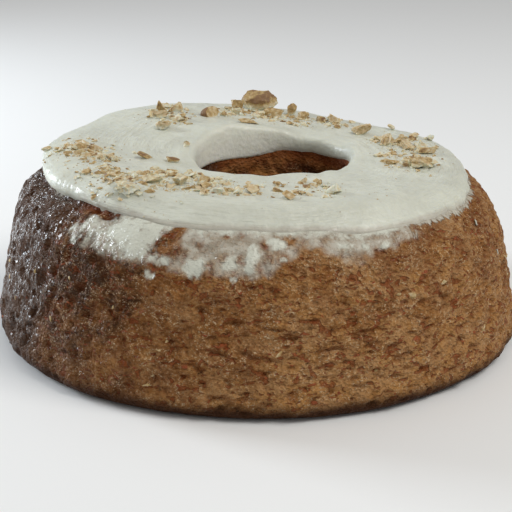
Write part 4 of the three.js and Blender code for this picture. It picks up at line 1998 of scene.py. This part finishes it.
    def strewn(self, heap: Heap, kind: Strewing) -> list[float]:
        """A random place in a heap, which thins out from its middle.

        Args:
            heap: the heap.
            kind: the kind of bit.

        Returns:
            The place in plan.
        """
        if self.draws.random() < kind.beside:
            reach = self.seat_reach * max(heap.spread)
            near = [seat for seat in self.seats if np.hypot(*np.subtract(seat, heap.at)) < reach]
            seat = near[self.draws.integers(len(near))]
            return [seat[axis] + self.seat_scatter * self.draws.normal() for axis in (0, 1)]
        return [heap.at[axis] + heap.spread[axis] * kind.wide * self.draws.normal() for axis in (0, 1)]


@dataclass
class CrustBits:
    """What is baked into the crust or stuck to it: shreds of carrot, golden bits and stray drops of icing."""

    crust: Piece
    seed: int = 31
    away: float = 200
    cuts: int = 3
    sink: float = 0.45
    shreds: int = 330
    shred_heights: tuple[float, float] = (7, 58)
    shred_length: tuple[float, float] = (1.6, 4.6)
    shred_width: tuple[float, float] = (1.0, 1.9)
    shred_thickness: float = 1.2
    shred_slope: float = 25
    shred_tones: tuple[float, float] = (0, 0.75)
    shred_side: float = 25
    shred_shares: tuple[float, float] = (0.45, 0.55)
    golden: int = 34
    golden_heights: tuple[float, float] = (9, 50)
    golden_length: tuple[float, float] = (2, 4.5)
    golden_width: tuple[float, float] = (1.5, 3)
    golden_thickness: float = 1.6
    golden_slope: float = 30
    drops: tuple[Place, ...] = ((62, 63, 1.9), (65, 49, 1.5), (69, 42, 2.0))
    drop_height: float = 1.7
    drop_thickness: float = 1.2
    drop_slope: float = 12

    def __post_init__(self) -> None:
        """Readies the knife, the search tree and the draws."""
        self.knife = Chopped(self.seed)
        self.tree = tree_of(self.crust)
        self.draws = np.random.default_rng(self.seed + 1)

    def frame_at(self, angle: float, height: float) -> tuple[np.ndarray, np.ndarray]:
        """A place on the outer wall.

        Args:
            angle: its angle.
            height: its height, in millimetres.

        Returns:
            The point there, and rows for the level, rising and outward directions.
        """
        turn = np.radians(angle)
        outwards = np.array([np.sin(turn), -np.cos(turn), 0])
        start = Vector((*(outwards[:2] * self.away), height)) * MM
        point, normal, _, _ = self.tree.ray_cast(start, Vector((*-outwards[:2], 0)))
        normal = np.array(normal)
        level = np.cross([0, 0, 1], normal)
        level /= np.linalg.norm(level)
        return np.array(point) / MM, np.stack([level, np.cross(normal, level), normal])

    def stud(
        self,
        pile: MeshPile,
        angle: float,
        height: float,
        size: np.ndarray,
        sink: float,
        slope: float,
        **values: float,
    ) -> None:
        """Sets a bit into the crust.

        Args:
            pile: the pile that it joins.
            angle: its angle round the cake.
            height: its height.
            size: its length along the crust, its width and how thick it is.
            sink: how far its middle lies below the crust.
            slope: how its length is turned from level, in degrees.
            **values: numbers kept on its vertices.
        """
        point, axes = self.frame_at(angle, height)
        points, faces, _ = self.knife.piece(size, Fineness.MEDIUM, self.cuts)
        points = self.knife.turned(points, slope, 0)
        pile.add(points @ axes + point - axes[2] * sink, faces, **values)

    def carrot(self, finish: Material) -> Piece:
        """Makes the shreds of carrot, thickest at the front right and at the back left.

        Args:
            finish: the carrot's material.

        Returns:
            One piece that holds them all.
        """
        pile = MeshPile()
        least, more = self.shred_shares
        for _ in range(self.shreds):
            angle = self.draws.uniform(-180, 180)
            height = self.draws.uniform(*self.shred_heights)
            if self.draws.random() > least + more * np.cos(np.radians(angle - self.shred_side)) ** 2:
                continue
            length, width = self.draws.uniform(*self.shred_length), self.draws.uniform(*self.shred_width)
            size = np.array([length, width, self.shred_thickness])
            slope, tone = self.draws.normal(0, self.shred_slope), self.draws.uniform(*self.shred_tones)
            self.stud(pile, angle, height, size, self.sink, slope, tone=tone)
        return pile.piece("carrot_shreds", finish, Slot.CARROT)

    def golden_bits(self, finish: Material) -> Piece:
        """Makes the golden bits of nut that show in the crust.

        Args:
            finish: the nuts' material.

        Returns:
            One piece that holds them all.
        """
        pile = MeshPile()
        for _ in range(self.golden):
            length, width = self.draws.uniform(*self.golden_length), self.draws.uniform(*self.golden_width)
            size = np.array([length, width, self.golden_thickness])
            angle, height = self.draws.uniform(-180, 180), self.draws.uniform(*self.golden_heights)
            slope = self.draws.normal(0, self.golden_slope)
            self.stud(pile, angle, height, size, self.sink, slope, tone=Tone.GOLDEN.value)
        return pile.piece("golden_bits", finish, Slot.NUT)

    def icing_drops(self, finish: Material) -> Piece:
        """Makes the drops of icing on the crust.

        Args:
            finish: the icing's material.

        Returns:
            One piece that holds them all.
        """
        pile = MeshPile()
        for angle, height, width in self.drops:
            size = np.array([width, width * self.drop_height, self.drop_thickness])
            self.stud(pile, angle, height, size, 0, self.draws.normal(0, self.drop_slope))
        return pile.piece("icing_drops", finish, Slot.ICING)


@dataclass(frozen=True)
class SoftLight:
    """A square soft light: where it hangs, the length of its side, its power in watts and its colour."""

    name: str
    place: Place
    size: float
    power: float
    colour: Colour


@dataclass
class Studio:
    """The pale floor, the soft lights and the camera."""

    camera_at: Place = (0, -571.6, 222.4)
    aim: Place = (-0.7, 0, 30)
    lens: float = 85.85
    floor_size: float = 6000
    floor_colours: tuple[Colour, Colour] = ((0.8, 0.8, 0.79), (0.86, 0.86, 0.85))
    floor_mottle: Mottle = Mottle(300, Band(0.3, 0.7, 0.97, 1.0))
    floor_roughness: float = 0.9
    sky: Colour = (1.0, 1.0, 1.0)
    sky_strength: tuple[float, float] = (0.21, 0.58)
    lights: tuple[SoftLight, ...] = (
        SoftLight("key_soft", (900, -450, 1300), 800, 11.7, (1.0, 0.985, 0.95)),
        SoftLight("window_cool", (-1000, 450, 360), 380, 10.5, (0.84, 0.92, 1.0)),
    )

    def build(self) -> None:
        """Sets up the stage, the camera and the lights."""
        self.floor()
        self.camera()
        self.world()
        for lamp in self.lights:
            self.light(lamp)
        bpy.context.scene.view_settings.view_transform = "Standard"

    def floor(self) -> None:
        """Lays a plain pale floor."""
        material, graph, shader = new_material("floor_pale")
        colour = graph.mix(graph.mottled(graph.place(), self.floor_mottle), *self.floor_colours)
        graph.feed(shader, {"Base Color": colour, "Roughness": self.floor_roughness})
        half = self.floor_size / 2 * MM
        corners = [(-half, -half, 0), (half, -half, 0), (half, half, 0), (-half, half, 0)]
        mesh = bpy.data.meshes.new("floor")
        mesh.from_pydata(corners, [], [(0, 1, 2, 3)])
        mesh.materials.append(material)
        floor = bpy.data.objects.new("floor", mesh)
        bpy.context.scene.collection.objects.link(floor)

    def camera(self) -> None:
        """Sets the camera at the photograph's angle."""
        data = bpy.data.cameras.new("camera")
        data.lens = self.lens
        camera = bpy.data.objects.new("camera", data)
        camera.location = Vector(self.camera_at) * MM
        camera.rotation_euler = self.facing(self.camera_at)
        bpy.context.scene.collection.objects.link(camera)
        bpy.context.scene.camera = camera

    def world(self) -> None:
        """Fills the room with soft light, stronger from above than from the sides."""
        world = bpy.data.worlds.new("room")
        world.use_nodes = True
        graph = Graph(world.node_tree)
        way = graph.node("ShaderNodeTexCoord").outputs["Generated"]
        rise = graph.node("ShaderNodeSeparateXYZ", {0: way}).outputs["Z"]
        low, high = self.sky_strength
        strength = graph.node("ShaderNodeMapRange", {"Value": rise, "To Min": low, "To Max": high})
        inputs = {"Color": (*self.sky, 1), "Strength": strength.outputs["Result"]}
        graph.feed(world.node_tree.nodes["Background"], inputs)
        bpy.context.scene.world = world

    def light(self, lamp: SoftLight) -> None:
        """Hangs a light that faces the cake.

        Args:
            lamp: the light.
        """
        data = bpy.data.lights.new(lamp.name, "AREA")
        data.size, data.energy, data.color = lamp.size * MM, lamp.power, lamp.colour
        light = bpy.data.objects.new(lamp.name, data)
        light.location = Vector(lamp.place) * MM
        light.rotation_euler = self.facing(lamp.place)
        bpy.context.scene.collection.objects.link(light)

    def facing(self, place: Place) -> Euler:
        """The rotation that faces the cake from a place."""
        return (Vector(self.aim) - Vector(place)).to_track_quat("-Z", "Y").to_euler()


def main() -> None:
    """Builds the cake's pieces in order, then the studio."""
    logging.basicConfig(level=logging.INFO, format="%(name)s: %(message)s")
    shared = SharedEffects()
    icing_finish = IcingFinish().material(shared)
    nut_finish = NutFinish().material(shared)
    form = CakeForm()
    coat = IcingCoat(form)
    crust = SpongeCrust(form, coat).build(CrustFinish().material(shared))
    icing = coat.build(icing_finish)
    nuts = NutTopping(icing)
    nuts.largest(nut_finish)
    nuts.smaller(nut_finish)
    nuts.scatter(nut_finish)
    bits = CrustBits(crust)
    bits.carrot(CarrotFinish().material(shared))
    bits.golden_bits(nut_finish)
    bits.icing_drops(icing_finish)
    Studio().build()


if __name__ == "__main__":
    main()
